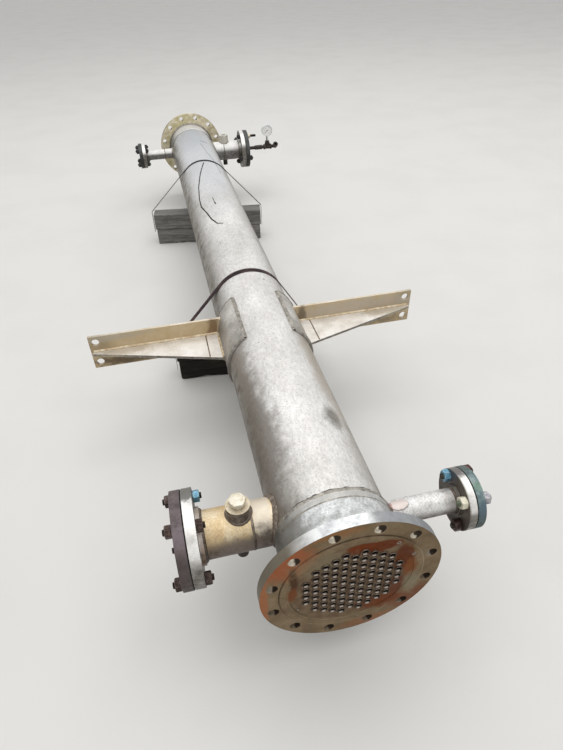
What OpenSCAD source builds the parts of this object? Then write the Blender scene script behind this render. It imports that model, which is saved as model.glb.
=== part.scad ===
// Shell and tube heat exchanger with fixed tubesheets, lying on two stacks of timber.
// Millimetres. X is to the right, Y runs along the shell from the near tubesheet to the far one, Z is up.
// The origin is on the shell's axis, in the bolting face of the near tubesheet.
// Left is the -X side and right the +X side. Large nozzles stand near left and far right,
// small nozzles near right and far left.

/* [Shell] */
// Outside diameter of the shell pipe
shell_od = 273; // [250:1:290]
// Wall of the shell pipe
shell_wall = 6.4; // [4:0.2:10]
// Length between the bolting faces of the two tubesheets
exchanger_length = 3353; // [3000:1:3800]
// How far the end rings stand proud of the shell
ring_step = 3; // [1:0.5:5]
// Distance from a bolting face to the seam between end ring and shell
ring_seam = 140; // [110:1:170]

/* [Tubesheets] */
// Outside diameter of a tubesheet
tubesheet_od = 406.4; // [395:0.1:440]
// Thickness of a tubesheet at its bolting rim
tubesheet_t = 25.4; // [16:0.1:50]
// Distance from a tubesheet's rim to the centres of its bolt holes
tubesheet_bolt_edge = 22.225; // [18:0.005:24]
// Diameter of a bolt hole in a tubesheet
tubesheet_hole_d = 25.4; // [18:0.1:28]
// Outside diameter of the raised gasket ring
gasket_ring_od = 324; // [315:0.5:328]
// Width of the raised gasket ring
gasket_ring_w = 22; // [12:0.5:30]
// Height of the raised gasket ring
gasket_ring_h = 1.6; // [0.8:0.1:4]

/* [Tubes] */
// Outside diameter of a tube
tube_od = 19.05; // [15:0.05:20.5]
// Wall of a tube
tube_wall = 1.65; // [0.9:0.05:3]
// Distance between neighbouring tubes
tube_pitch = 23.8; // [22.5:0.1:28]
// Radius of the circle that holds the centres of all tubes
tube_field_r = 110; // [70:1:115]
// How far a tube stands out of the bolting face
tube_stand_out = 2; // [0.5:0.1:6]

/* [All nozzles] */
// Distance from the shell's axis to a nozzle's gasket face
nozzle_reach = 331; // [300:1:400]
// Thickness of a flange gasket
gasket_t = 3.2; // [1:0.1:6]
// How far a flange gasket's rim stays inside the flange's rim
gasket_setback = 2; // [0.5:0.5:6]
// How far a pipe stops short of the gasket face inside its slip-on flange
pipe_recess = 8; // [3:0.5:12]

/* [Large nozzles] */
// Distance from a bolting face to the axis of a large nozzle
large_y = 197; // [190:1:260]
// Outside diameter of the large nozzle pipe
large_pipe_od = 114.3; // [110:0.1:118]
// Wall of the large nozzle pipe
large_pipe_wall = 6; // [3:0.1:9]
// Outside diameter of a large flange
large_flange_od = 228.6; // [224:0.1:240]
// Thickness of a large flange and of its cover
large_flange_t = 23.9; // [16:0.1:30]
// Outside diameter of a large flange's hub
large_hub_od = 135; // [130:0.5:150]
// Length of a large flange through its hub
large_hub_len = 33.3; // [31:0.1:45]
// Bolt circle of a large flange
large_bolt_circle = 190.5; // [187:0.1:192]

/* [Small nozzles] */
// Distance from a bolting face to the axis of a small nozzle
small_y = 146; // [135:1:220]
// Outside diameter of the small nozzle pipe
small_pipe_od = 60.3; // [57:0.1:64]
// Wall of the small nozzle pipe
small_pipe_wall = 3.9; // [2.5:0.1:6]
// Outside diameter of a small flange
small_flange_od = 152.4; // [150:0.1:165]
// Thickness of a small flange and of its cover
small_flange_t = 19.1; // [14:0.1:25]
// Outside diameter of a small flange's hub
small_hub_od = 77.8; // [72:0.1:84]
// Length of a small flange through its hub
small_hub_len = 25.4; // [25.1:0.1:38]
// Bolt circle of a small flange
small_bolt_circle = 120.65; // [119:0.05:124]

/* [Stud bolts] */
// Diameter of a stud
stud_d = 15.9; // [12:0.1:17.5]
// Diameter of a bolt hole in a nozzle flange
flange_hole_d = 19.05; // [18:0.05:22]
// Width of a nut across its flats
nut_flats = 27; // [24:0.1:28]
// Height of a nut
nut_h = 15.9; // [10:0.1:18]
// How far a stud stands out of its nut
stud_end = 5; // [1:0.5:15]
// How far the one long stud stands out of its outer nut
long_stud_end = 38; // [20:1:80]

/* [Couplings] */
// Distance from the shell's axis to the near couplings
near_coupling_x = 209; // [195:1:225]
// Distance from the shell's axis to the far couplings
far_coupling_x = 203; // [195:1:225]
// Outside diameter of the top coupling
coupling_od = 57; // [50:0.5:62]
// Diameter of the bore of the top coupling
coupling_bore = 30.3; // [26:0.1:34]
// Height of the near top coupling's rim above the nozzle's axis
near_coupling_top = 86; // [76:1:110]
// Height of the far top coupling's rim above the nozzle's axis
far_coupling_top = 99; // [76:1:110]
// Outside diameter of the drain coupling
drain_od = 28.6; // [24:0.1:34]
// Diameter of the bore of the drain coupling
drain_bore = 18.2; // [14:0.1:21]
// Depth of the near drain coupling's mouth below the nozzle's axis
near_drain_drop = 103; // [80:1:130]
// Depth of the far drain coupling's mouth below the nozzle's axis
far_drain_drop = 89; // [80:1:130]
// Width of the hexagon plug across its flats
plug_flats = 36.5; // [30:0.5:45]
// Height of the plug's hexagon
plug_hex_h = 12; // [8:0.5:20]
// Height of the plug's round neck above the coupling
plug_neck_h = 7; // [2:0.5:12]

/* [Gauge] */
// Outside diameter of the gauge case
gauge_d = 70; // [55:1:85]
// Depth of the gauge case
gauge_depth = 28; // [20:1:40]
// Height of the gauge's centre above the nozzle's axis
gauge_z = 103; // [92:1:130]
// Distance from the shell's axis to the gauge's tee
gauge_x = 497; // [490:1:560]
// Outside diameter of the gauge nipple
nipple_od = 21.3; // [17:0.1:24]
// Distance from the tee's centre to each of its ends
tee_arm = 26; // [24:0.5:34]
// Diameter of the bead round each end of a threaded fitting
fitting_bead_od = 34; // [31:0.5:38]
// Diameter of the body of a threaded fitting
fitting_body_od = 28; // [25:0.5:30]
// Diameter of the elbow's open mouth
elbow_bore = 18.2; // [14:0.1:21]
// Rise of the elbow's mouth above level, in degrees
elbow_rise = 40; // [0:1:60]

/* [Lugs] */
// Distance from the near bolting face to the near side of the bearing plates
plate_y = 1016; // [900:1:2300]
// Distance from the shell's axis to the outer end of a bearing plate
plate_reach = 581; // [570:1:700]
// Height of a bearing plate
plate_h = 127; // [118:1:170]
// Thickness of a bearing plate
plate_t = 9.5; // [6:0.1:20]
// Drop of the lugs' middle line below the shell's axis
lug_drop = 5; // [0:1:10]
// Distance from a bearing plate's outer end to its bolt holes
lug_hole_edge = 22; // [18:1:40]
// Distance between the two bolt holes of one lug
lug_hole_spacing = 80; // [65:1:86]
// Diameter of a lug bolt hole
lug_hole_d = 25.4; // [18:0.1:28]
// Thickness of a gusset
gusset_t = 9.5; // [6:0.1:14]
// Depth of a gusset along the shell at its root
gusset_root = 149; // [100:1:190]
// Depth of a gusset at its outer end
gusset_tip = 13; // [6:1:40]
// How far a gusset stops short of the bearing plate's end
gusset_setback = 7; // [2:1:15]
// Thickness of a wrapper pad
pad_t = 7; // [4:0.5:12]
// Distance from the near bolting face to the near end of the pads
pad_y = 803; // [790:1:830]
// Length of a pad along the shell
pad_len = 242; // [236:1:400]
// Angle from the top of the shell to a pad's upper edge, in degrees
pad_top_angle = 36; // [25:1:45]

/* [Timbers] */
// Height and width of a timber
timber_side = 89; // [70:1:110]
// Place along the shell of the middle timbers
mid_timber_y = 1202; // [1150:1:1400]
// Place along the shell of the far timbers
far_timber_y = 2508; // [2500:1:2520]
// Reach of the middle timbers to the left
mid_timber_left = 305; // [250:1:400]
// Reach of the middle timbers to the right
mid_timber_right = 242; // [235:1:400]
// Reach of the far timbers to the left
far_timber_left = 320; // [250:1:400]
// Reach of the far timbers to the right
far_timber_right = 300; // [250:1:400]
// Turn of the middle timbers away from square to the shell, in degrees
mid_timber_skew = 5; // [0:1:6]
// Turn of the far timbers away from square to the shell, in degrees
far_timber_skew = 9; // [6:1:11]
// Gap that each lower timber leaves at its ends, next to the upper one
lower_timber_setback = 6; // [0:1:20]

/* [Straps] */
// Width of the middle strap
mid_strap_w = 25; // [12:1:32]
// Width of the far strap
far_strap_w = 16; // [12:1:32]
// Thickness of a strap
strap_t = 1.2; // [0.8:0.1:3]
// Length of a strap that runs down the end of a timber
strap_tail = 120; // [40:1:160]
// Place along the shell of the middle strap
mid_strap_y = 1190; // [1186:1:1200]
// Place along the shell of the far strap
far_strap_y = 2530; // [2526:1:2534]
// Turn of the far strap away from square to the shell, in degrees
far_strap_skew = 7; // [6:0.5:8]

/* [Hidden] */
$fn = 96;

LEFT = -1;
RIGHT = 1;

// Gap between two curved faces that touch on the real piece
fit_gap = 0.15;
// Gap between the shell and what bears on it
seat_gap = 0.2;
// How far a cutting shape runs past the face that it cuts
past = 1;

shell_r = shell_od / 2;
ring_r = shell_r + ring_step;
bore_r = shell_r - shell_wall;
near_ring_start = tubesheet_t;
far_seam_y = exchanger_length - ring_seam;
far_ring_end = exchanger_length - tubesheet_t;
tubesheet_bolts = 12;
tubesheet_bolt_circle = tubesheet_od - 2 * tubesheet_bolt_edge;
lug_hole_x = plate_reach - lug_hole_edge;

// A nozzle size is a list of its dimensions, read by these functions.
function pipe_od(size) = size[0];
function pipe_bore(size) = size[0] - 2 * size[1];
function flange_od(size) = size[2];
function flange_t(size) = size[3];
function hub_od(size) = size[4];
function hub_len(size) = size[5];
function bolt_circle(size) = size[6];
function bolt_count(size) = size[7];
LARGE = [
    large_pipe_od, large_pipe_wall, large_flange_od, large_flange_t, large_hub_od,
    large_hub_len, large_bolt_circle, 8
];
SMALL = [
    small_pipe_od, small_pipe_wall, small_flange_od, small_flange_t, small_hub_od,
    small_hub_len, small_bolt_circle, 4
];
far_large_y = exchanger_length - large_y;
far_small_y = exchanger_length - small_y;

pad_r = shell_r + seat_gap + pad_t;
timber_top_z = -shell_r - seat_gap;
floor_z = timber_top_z - 2 * timber_side - seat_gap;
// Studs that hold each cover. In the large flanges every second hole is left empty.
flange_studs = 4;
// Angles of the first stud on each nozzle, from the downward direction on a right nozzle
near_left_stud_angle = 67.5;
far_right_stud_angle = 22.5;
small_stud_angle = 45;
// The long stud sits at the top of the far right flange, on the side towards the near end.
long_stud_angle = 202.5;

// Draws its children from the point y of the shell's axis, with their Z along the shell.
module along_shell(y) {
    translate([0, y, 0]) rotate([-90, 0, 0]) children();
}

// Extrudes a profile drawn in X and Z over a length of the shell that starts at y.
module along_shell_profile(y, length) {
    translate([0, y + length, 0]) rotate([90, 0, 0]) linear_extrude(length) children();
}

// Draws its children on a nozzle's axis, with their Z pointing out of the shell.
module on_nozzle(y, side) {
    translate([0, y, 0]) rotate([0, 90 * side, 0]) children();
}

// Repeats its children on a bolt circle, with holes on both sides of the vertical and level lines.
module on_bolt_circle(diameter, count) {
    for (i = [0 : count - 1]) {
        rotate([0, 0, (i + 0.5) * 360 / count]) translate([diameter / 2, 0, 0]) children();
    }
}

// A pipe along Z.
module pipe(outer_d, inner_d, length) {
    difference() {
        cylinder(h = length, d = outer_d);
        translate([0, 0, -past]) cylinder(h = length + 2 * past, d = inner_d);
    }
}

// A hexagonal prism along Z, given its width across the flats.
module hexagon(flats, height) {
    cylinder(h = height, d = flats / cos(30), $fn = 6);
}

// The outside of the shell and its end rings as one solid, larger by a gap all round.
module shell_body(gap) {
    along_shell(near_ring_start) cylinder(h = ring_seam - near_ring_start + gap, r = ring_r + gap);
    along_shell(ring_seam) cylinder(h = far_seam_y - ring_seam, r = shell_r + gap);
    along_shell(far_seam_y - gap) cylinder(h = far_ring_end - far_seam_y + gap, r = ring_r + gap);
}

// The bores of the four nozzles, which open the shell and its end rings.
module nozzle_bores() {
    on_nozzle(large_y, LEFT) cylinder(h = ring_r + past, d = pipe_bore(LARGE));
    on_nozzle(far_large_y, RIGHT) cylinder(h = ring_r + past, d = pipe_bore(LARGE));
    on_nozzle(small_y, RIGHT) cylinder(h = ring_r + past, d = pipe_bore(SMALL));
    on_nozzle(far_small_y, LEFT) cylinder(h = ring_r + past, d = pipe_bore(SMALL));
}

module shell() {
    color("silver") difference() {
        along_shell(ring_seam) pipe(shell_od, 2 * bore_r, far_seam_y - ring_seam);
        nozzle_bores();
    }
}

module end_rings() {
    color("lightgray") difference() {
        union() {
            along_shell(near_ring_start) pipe(2 * ring_r, 2 * bore_r, ring_seam - near_ring_start);
            along_shell(far_seam_y) pipe(2 * ring_r, 2 * bore_r, far_ring_end - far_seam_y);
        }
        nozzle_bores();
    }
}

// Centres of the tubes: a triangular grid with upright columns, inside the tube field.
column_step = tube_pitch * sin(60);
grid_reach = ceil(tube_field_r / column_step);
tube_centres = [
    for (column = [-grid_reach : grid_reach], row = [-grid_reach : grid_reach])
        let (offset = (abs(column) % 2) / 2, x = column * column_step, z = (row + offset) * tube_pitch)
            if (norm([x, z]) <= tube_field_r) [x, z]
];

// A tubesheet with its outer face at z = 0 and its body on the -Z side.
module tubesheet() {
    color("tan") difference() {
        union() {
            translate([0, 0, -tubesheet_t]) cylinder(h = tubesheet_t, d = tubesheet_od);
            pipe(gasket_ring_od, gasket_ring_od - 2 * gasket_ring_w, gasket_ring_h);
        }
        translate([0, 0, -tubesheet_t - past]) {
            on_bolt_circle(tubesheet_bolt_circle, tubesheet_bolts)
                cylinder(h = tubesheet_t + 2 * past, d = tubesheet_hole_d);
            for (centre = tube_centres) {
                translate([centre[0], centre[1], 0])
                    cylinder(h = tubesheet_t + 2 * past, d = tube_od + 2 * fit_gap);
            }
        }
    }
}

module near_tubesheet() {
    rotate([90, 0, 0]) tubesheet();
}

module far_tubesheet() {
    along_shell(exchanger_length) tubesheet();
}

module tubes() {
    color("rosybrown") for (centre = tube_centres) {
        translate([centre[0], 0, centre[1]]) along_shell(-tube_stand_out)
            pipe(tube_od, tube_od - 2 * tube_wall, exchanger_length + 2 * tube_stand_out);
    }
}

// A nozzle pipe from the shell to just inside its flange. The large ones carry two couplings at coupling_x.
module neck(y, side, size, coupling_x = 0) {
    color("gainsboro") difference() {
        on_nozzle(y, side) pipe(pipe_od(size), pipe_bore(size), nozzle_reach - pipe_recess);
        shell_body(fit_gap);
        if (coupling_x > 0) {
            at_coupling(y, side, coupling_x) {
                cylinder(h = pipe_od(size), d = coupling_od + 2 * fit_gap);
                mirror([0, 0, 1]) cylinder(h = pipe_od(size), d = drain_od + 2 * fit_gap);
            }
        }
    }
}

// A slip-on flange, with its flat face at the nozzle's reach.
module flange(y, side, size) {
    color("whitesmoke") on_nozzle(y, side) translate([0, 0, nozzle_reach]) mirror([0, 0, 1]) difference() {
        union() {
            cylinder(h = hub_len(size), d = hub_od(size));
            cylinder(h = flange_t(size), d = flange_od(size));
        }
        translate([0, 0, -past]) cylinder(h = hub_len(size) + 2 * past, d = pipe_od(size) + 2 * fit_gap);
        translate([0, 0, -past]) on_bolt_circle(bolt_circle(size), bolt_count(size))
            cylinder(h = flange_t(size) + 2 * past, d = flange_hole_d);
    }
}

// A full-face gasket with the flange's bolt holes.
module gasket(y, side, size) {
    color("black") on_nozzle(y, side) translate([0, 0, nozzle_reach]) difference() {
        pipe(flange_od(size) - 2 * gasket_setback, pipe_od(size) + 2 * fit_gap, gasket_t);
        translate([0, 0, -past]) on_bolt_circle(bolt_circle(size), bolt_count(size))
            cylinder(h = gasket_t + 2 * past, d = flange_hole_d);
    }
}

// A blind flange that closes a nozzle.
module cover(y, side, size, colour) {
    color(colour) on_nozzle(y, side) translate([0, 0, nozzle_reach + gasket_t]) difference() {
        cylinder(h = flange_t(size), d = flange_od(size));
        translate([0, 0, -past]) on_bolt_circle(bolt_circle(size), bolt_count(size))
            cylinder(h = flange_t(size) + 2 * past, d = flange_hole_d);
    }
}

// A stud with a nut at each end. The clamped length runs from z = 0 to z = grip.
module stud_bolt(grip, outer_end) {
    union() {
        translate([0, 0, -nut_h - stud_end])
            cylinder(h = grip + 2 * nut_h + stud_end + outer_end, d = stud_d);
        translate([0, 0, -nut_h]) hexagon(nut_flats, nut_h);
        translate([0, 0, grip]) hexagon(nut_flats, nut_h);
    }
}

module bolts(y, side, size, first_angle, long_angle = -1) {
    grip = 2 * flange_t(size) + gasket_t;
    color("saddlebrown") on_nozzle(y, side) translate([0, 0, nozzle_reach - flange_t(size)]) {
        for (i = [0 : flange_studs - 1]) {
            turn = first_angle + i * 360 / flange_studs;
            rotate([0, 0, turn]) translate([bolt_circle(size) / 2, 0, 0])
                stud_bolt(grip, turn == long_angle ? long_stud_end : stud_end);
        }
    }
}

// Draws its children on the upright axis through the couplings of a large nozzle, from the nozzle's axis.
module at_coupling(y, side, coupling_x) {
    translate([side * coupling_x, y, 0]) children();
}

// Set into the pipe wall, with its flat inner end level with the wall at its rim.
coupling_foot = sqrt(pow(large_pipe_od / 2 - large_pipe_wall, 2) - pow(coupling_od / 2, 2));
drain_foot = sqrt(pow(large_pipe_od / 2 - large_pipe_wall, 2) - pow(drain_od / 2, 2));

module top_coupling(y, side, coupling_x, rim) {
    color("wheat") at_coupling(y, side, coupling_x) translate([0, 0, coupling_foot])
        pipe(coupling_od, coupling_bore, rim - coupling_foot);
}

module drain_coupling(y, side, coupling_x, drop) {
    color("dimgray") at_coupling(y, side, coupling_x) translate([0, 0, -drop])
        pipe(drain_od, drain_bore, drop - drain_foot);
}

// The hexagon plug that closes the near coupling, with a shank that fills half of the bore's depth.
module near_left_plug() {
    shank = (near_coupling_top - coupling_foot) / 2;
    shank_d = coupling_bore - 2 * fit_gap;
    color("ivory") at_coupling(large_y, LEFT, near_coupling_x) translate([0, 0, near_coupling_top]) {
        translate([0, 0, -shank]) cylinder(h = shank + plug_neck_h + past, d = shank_d);
        translate([0, 0, plug_neck_h]) hexagon(plug_flats, plug_hex_h);
    }
}

cover_face_x = nozzle_reach + gasket_t + large_flange_t;
nipple_coupling_len = 48;
nipple_between = 12;
nipple_coupling_x = gauge_x - tee_arm - nipple_between - nipple_coupling_len;
bead_w = 9;

// The pipe nipples and the coupling between the far right cover and the gauge's tee.
module gauge_nipple() {
    color("dimgray") on_nozzle(far_large_y, RIGHT) {
        translate([0, 0, cover_face_x]) cylinder(h = gauge_x - tee_arm - cover_face_x, d = nipple_od);
        translate([0, 0, nipple_coupling_x]) cylinder(h = nipple_coupling_len, d = fitting_body_od);
    }
}

// One arm of a threaded fitting along Z: a round body that ends in a bead.
module fitting_arm(length) {
    cylinder(h = length, d = fitting_body_od);
    translate([0, 0, length - bead_w]) cylinder(h = bead_w, d = fitting_bead_od);
}

bushing_flats = 24;
bushing_h = 12;

module gauge_tee() {
    color("saddlebrown") translate([gauge_x, far_large_y, 0]) {
        rotate([0, 90, 0]) fitting_arm(tee_arm);
        rotate([0, -90, 0]) fitting_arm(tee_arm);
        fitting_arm(tee_arm);
        translate([0, 0, tee_arm]) hexagon(bushing_flats, bushing_h);
    }
}

elbow_gap = 1;
elbow_x = gauge_x + 2 * tee_arm + elbow_gap;

// A street elbow screwed into the tee, with its open mouth turned up and towards the near end.
module gauge_elbow() {
    color("saddlebrown") translate([elbow_x, far_large_y, 0]) difference() {
        union() {
            sphere(d = fitting_body_od);
            rotate([0, -90, 0]) cylinder(h = tee_arm + elbow_gap, d = nipple_od);
            rotate([90 - elbow_rise, 0, 0]) fitting_arm(tee_arm);
        }
        rotate([90 - elbow_rise, 0, 0]) translate([0, 0, tee_arm / 3]) cylinder(h = tee_arm, d = elbow_bore);
    }
}

bezel_w = 4;
bezel_h = 3;
gauge_stem_flats = 14;

module pressure_gauge() {
    stem_bottom = tee_arm + bushing_h;
    color("lightgray") translate([gauge_x, far_large_y, 0]) {
        difference() {
            translate([0, 0, gauge_z]) along_shell(-gauge_depth / 2) cylinder(h = gauge_depth, d = gauge_d);
            translate([0, 0, gauge_z]) along_shell(-gauge_depth / 2 - past)
                cylinder(h = bezel_h + past, d = gauge_d - 2 * bezel_w);
        }
        translate([0, 0, stem_bottom]) rotate([0, 0, 30])
            hexagon(gauge_stem_flats, gauge_z - gauge_d / 2 + bezel_w - stem_bottom);
    }
}

// The part of a ring round the shell that lies between two angles from the top, in X and Z.
module ring_sector(inner_r, outer_r, from_angle, to_angle) {
    wide = 3 * outer_r;
    middle = (from_angle + to_angle) / 2;
    intersection() {
        difference() {
            circle(r = outer_r);
            circle(r = inner_r);
        }
        polygon([
            [0, 0],
            [wide * sin(from_angle), wide * cos(from_angle)],
            [wide * sin(middle), wide * cos(middle)],
            [wide * sin(to_angle), wide * cos(to_angle)]
        ]);
    }
}

// Draws a right-hand lug piece on both sides of the shell.
module on_both_sides() {
    children();
    mirror([1, 0, 0]) children();
}

module wrapper_pads() {
    color("silver") on_both_sides() along_shell_profile(pad_y, pad_len)
        ring_sector(shell_r + seat_gap, pad_r, pad_top_angle, 180 - pad_top_angle);
}

module bearing_plates() {
    color("tan") on_both_sides() difference() {
        translate([0, plate_y, -lug_drop - plate_h / 2]) cube([plate_reach, plate_t, plate_h]);
        along_shell(plate_y - past) cylinder(h = plate_t + 2 * past, r = pad_r + fit_gap);
        for (level = [-1, 1]) {
            translate([lug_hole_x, 0, level * lug_hole_spacing / 2 - lug_drop])
                along_shell(plate_y - past) cylinder(h = plate_t + 2 * past, d = lug_hole_d);
        }
    }
}

module gussets() {
    root_y = plate_y - gusset_root;
    color("white") on_both_sides() difference() {
        translate([0, 0, -lug_drop - gusset_t / 2]) linear_extrude(gusset_t) polygon([
            [0, plate_y],
            [plate_reach - gusset_setback, plate_y],
            [plate_reach - gusset_setback, plate_y - gusset_tip],
            [pad_r, root_y],
            [0, root_y]
        ]);
        along_shell(root_y - past) cylinder(h = gusset_root + 2 * past, r = pad_r + fit_gap);
    }
}

// Gap between a strap's tail and the skewed ends of the timbers that it runs down
strap_clear = 2;
strap_inner_r = shell_r + seat_gap;

// Reach of a strap, in its own turned plane, at which its tail clears the end of a skewed timber.
function strap_reach(timber_reach, timber_skew, width, skew) =
    let (end = timber_reach * cos(timber_skew) + timber_side / 2 * sin(timber_skew) + strap_clear)
        (end + width / 2 * sin(skew)) / cos(skew);

// How far a turned strap stands off the shell, so that its edges clear it down to the given angle above level.
function strap_ease(angle, width, skew) =
    cos(angle) * sin(skew) * (strap_inner_r * cos(angle) * sin(skew) + width) / 2;

// Steps that a strap takes round the shell, from its top to where it leaves it
strap_steps = 36;

// Angle above level at which a strap leaves the shell on its way to a timber's top edge at the given reach.
function leave_angle(reach) =
    acos(strap_inner_r / norm([reach, timber_top_z])) - atan2(-timber_top_z, reach);

// One face of a strap's right half in X and Z, from the top of the shell to the tail's end.
// The face lies at the given height above the strap's inner face.
function strap_face(reach, height) =
    let (angle = leave_angle(reach), r = strap_inner_r + height, x = reach + height)
        concat(
            [for (i = [0 : strap_steps]) let (a = 90 - i * (90 - angle) / strap_steps) r * [cos(a), sin(a)]],
            [[x, (r - x * cos(angle)) / sin(angle)], [x, timber_top_z - strap_tail]]
        );

function flip(points) = [for (point = points) [-point[0], point[1]]];

function backwards(points) = [for (i = [1 : len(points)]) points[len(points) - i]];

// A strap's profile in X and Z: down the left timber end, over the shell and down the right timber end.
module strap_profile(left_reach, right_reach, ease) {
    polygon(concat(
        backwards(flip(strap_face(left_reach, ease + strap_t))),
        strap_face(right_reach, ease + strap_t),
        backwards(strap_face(right_reach, ease)),
        flip(strap_face(left_reach, ease))
    ));
}

module strap(y, width, skew, left_reach, right_reach, timber_skew, colour) {
    left = strap_reach(left_reach, timber_skew, width, skew);
    right = strap_reach(right_reach, timber_skew, width, skew);
    ease = strap_ease(leave_angle(min(left, right)), width, skew);
    color(colour) translate([0, y, 0]) rotate([0, 0, -skew]) along_shell_profile(-width / 2, width)
        strap_profile(left, right, ease);
}

// Two timbers on each other. The upper one bears the shell and the lower one lies on the ground.
module timbers(y, skew, left_reach, right_reach, colour) {
    setback = lower_timber_setback;
    color(colour) translate([0, y, 0]) rotate([0, 0, -skew]) {
        translate([-left_reach, -timber_side / 2, timber_top_z - timber_side])
            cube([left_reach + right_reach, timber_side, timber_side]);
        translate([-left_reach + setback, -timber_side / 2, floor_z])
            cube([left_reach + right_reach - 2 * setback, timber_side, timber_side]);
    }
}

shell();
end_rings();
near_tubesheet();
far_tubesheet();
tubes();

neck(large_y, LEFT, LARGE, near_coupling_x);  // near_left_neck
flange(large_y, LEFT, LARGE);  // near_left_flange
gasket(large_y, LEFT, LARGE);  // near_left_gasket
cover(large_y, LEFT, LARGE, "rosybrown");  // near_left_cover
bolts(large_y, LEFT, LARGE, near_left_stud_angle);  // near_left_bolts
top_coupling(large_y, LEFT, near_coupling_x, near_coupling_top);  // near_left_coupling
near_left_plug();
drain_coupling(large_y, LEFT, near_coupling_x, near_drain_drop);  // near_left_drain

neck(small_y, RIGHT, SMALL);  // near_right_neck
flange(small_y, RIGHT, SMALL);  // near_right_flange
gasket(small_y, RIGHT, SMALL);  // near_right_gasket
cover(small_y, RIGHT, SMALL, "cadetblue");  // near_right_cover
bolts(small_y, RIGHT, SMALL, small_stud_angle);  // near_right_bolts

neck(far_small_y, LEFT, SMALL);  // far_left_neck
flange(far_small_y, LEFT, SMALL);  // far_left_flange
gasket(far_small_y, LEFT, SMALL);  // far_left_gasket
cover(far_small_y, LEFT, SMALL, "dimgray");  // far_left_cover
bolts(far_small_y, LEFT, SMALL, small_stud_angle);  // far_left_bolts

neck(far_large_y, RIGHT, LARGE, far_coupling_x);  // far_right_neck
flange(far_large_y, RIGHT, LARGE);  // far_right_flange
gasket(far_large_y, RIGHT, LARGE);  // far_right_gasket
cover(far_large_y, RIGHT, LARGE, "dimgray");  // far_right_cover
bolts(far_large_y, RIGHT, LARGE, far_right_stud_angle, long_stud_angle);  // far_right_bolts
top_coupling(far_large_y, RIGHT, far_coupling_x, far_coupling_top);  // far_right_coupling
drain_coupling(far_large_y, RIGHT, far_coupling_x, far_drain_drop);  // far_right_drain

gauge_nipple();
gauge_tee();
gauge_elbow();
pressure_gauge();

wrapper_pads();
bearing_plates();
gussets();

strap(mid_strap_y, mid_strap_w, 0, mid_timber_left, mid_timber_right, mid_timber_skew, "saddlebrown");  // mid_strap
strap(far_strap_y, far_strap_w, far_strap_skew, far_timber_left, far_timber_right, far_timber_skew, "black");  // far_strap
timbers(mid_timber_y, mid_timber_skew, mid_timber_left, mid_timber_right, "darkslategray");  // mid_timbers
timbers(far_timber_y, far_timber_skew, far_timber_left, far_timber_right, "gray");  // far_timbers
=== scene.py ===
"""Looks of a shell and tube heat exchanger that lies strapped on two stacks of timber.

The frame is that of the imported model: X to the right, Y along the shell from the near tubesheet to the far
one, Z up, with the origin in the middle of the near tubesheet's bolting face. Lengths are metres, but
millimetres in finishes, in stains and where a docstring says so.
"""

from __future__ import annotations

import logging
import math
from dataclasses import dataclass, field
from enum import Enum, IntEnum
from functools import partial
from typing import Callable, Iterable

import bmesh
import bpy
import numpy as np
from mathutils import Matrix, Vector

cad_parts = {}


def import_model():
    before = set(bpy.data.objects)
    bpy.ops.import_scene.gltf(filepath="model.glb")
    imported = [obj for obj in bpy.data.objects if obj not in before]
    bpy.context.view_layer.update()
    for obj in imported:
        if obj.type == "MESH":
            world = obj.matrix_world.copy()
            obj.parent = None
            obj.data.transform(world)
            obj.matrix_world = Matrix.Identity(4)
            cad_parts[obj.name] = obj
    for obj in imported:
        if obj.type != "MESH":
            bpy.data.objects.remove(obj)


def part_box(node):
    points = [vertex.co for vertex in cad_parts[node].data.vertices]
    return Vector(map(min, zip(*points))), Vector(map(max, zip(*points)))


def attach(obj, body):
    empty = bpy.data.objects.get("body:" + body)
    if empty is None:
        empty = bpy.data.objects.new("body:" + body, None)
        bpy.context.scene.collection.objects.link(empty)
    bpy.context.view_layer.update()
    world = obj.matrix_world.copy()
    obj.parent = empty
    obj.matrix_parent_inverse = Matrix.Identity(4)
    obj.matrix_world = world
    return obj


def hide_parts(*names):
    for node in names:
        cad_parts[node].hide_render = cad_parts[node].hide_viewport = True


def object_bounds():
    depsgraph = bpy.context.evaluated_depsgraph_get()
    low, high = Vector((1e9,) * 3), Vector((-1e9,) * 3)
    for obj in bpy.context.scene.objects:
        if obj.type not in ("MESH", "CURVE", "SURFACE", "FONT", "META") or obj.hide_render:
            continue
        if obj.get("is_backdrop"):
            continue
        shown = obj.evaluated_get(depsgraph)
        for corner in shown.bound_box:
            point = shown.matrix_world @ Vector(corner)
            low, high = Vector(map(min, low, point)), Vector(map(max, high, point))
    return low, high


LOG = logging.getLogger("heat_exchanger")
BODY = "root"
MM = 0.001
RIPPLE = 4.5 * MM
TURN = 2.0 * math.pi
X, Y, Z = np.eye(3)
BOTH_ENDS = (-1.0, 1.0)
Vec = tuple[float, float, float]
Socket = bpy.types.NodeSocket
Add = Callable[..., Socket]


class Side(IntEnum):
    """Side of the shell that a nozzle or a lug stands on."""

    LEFT = -1
    RIGHT = 1


# Colours and shader nodes


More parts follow.
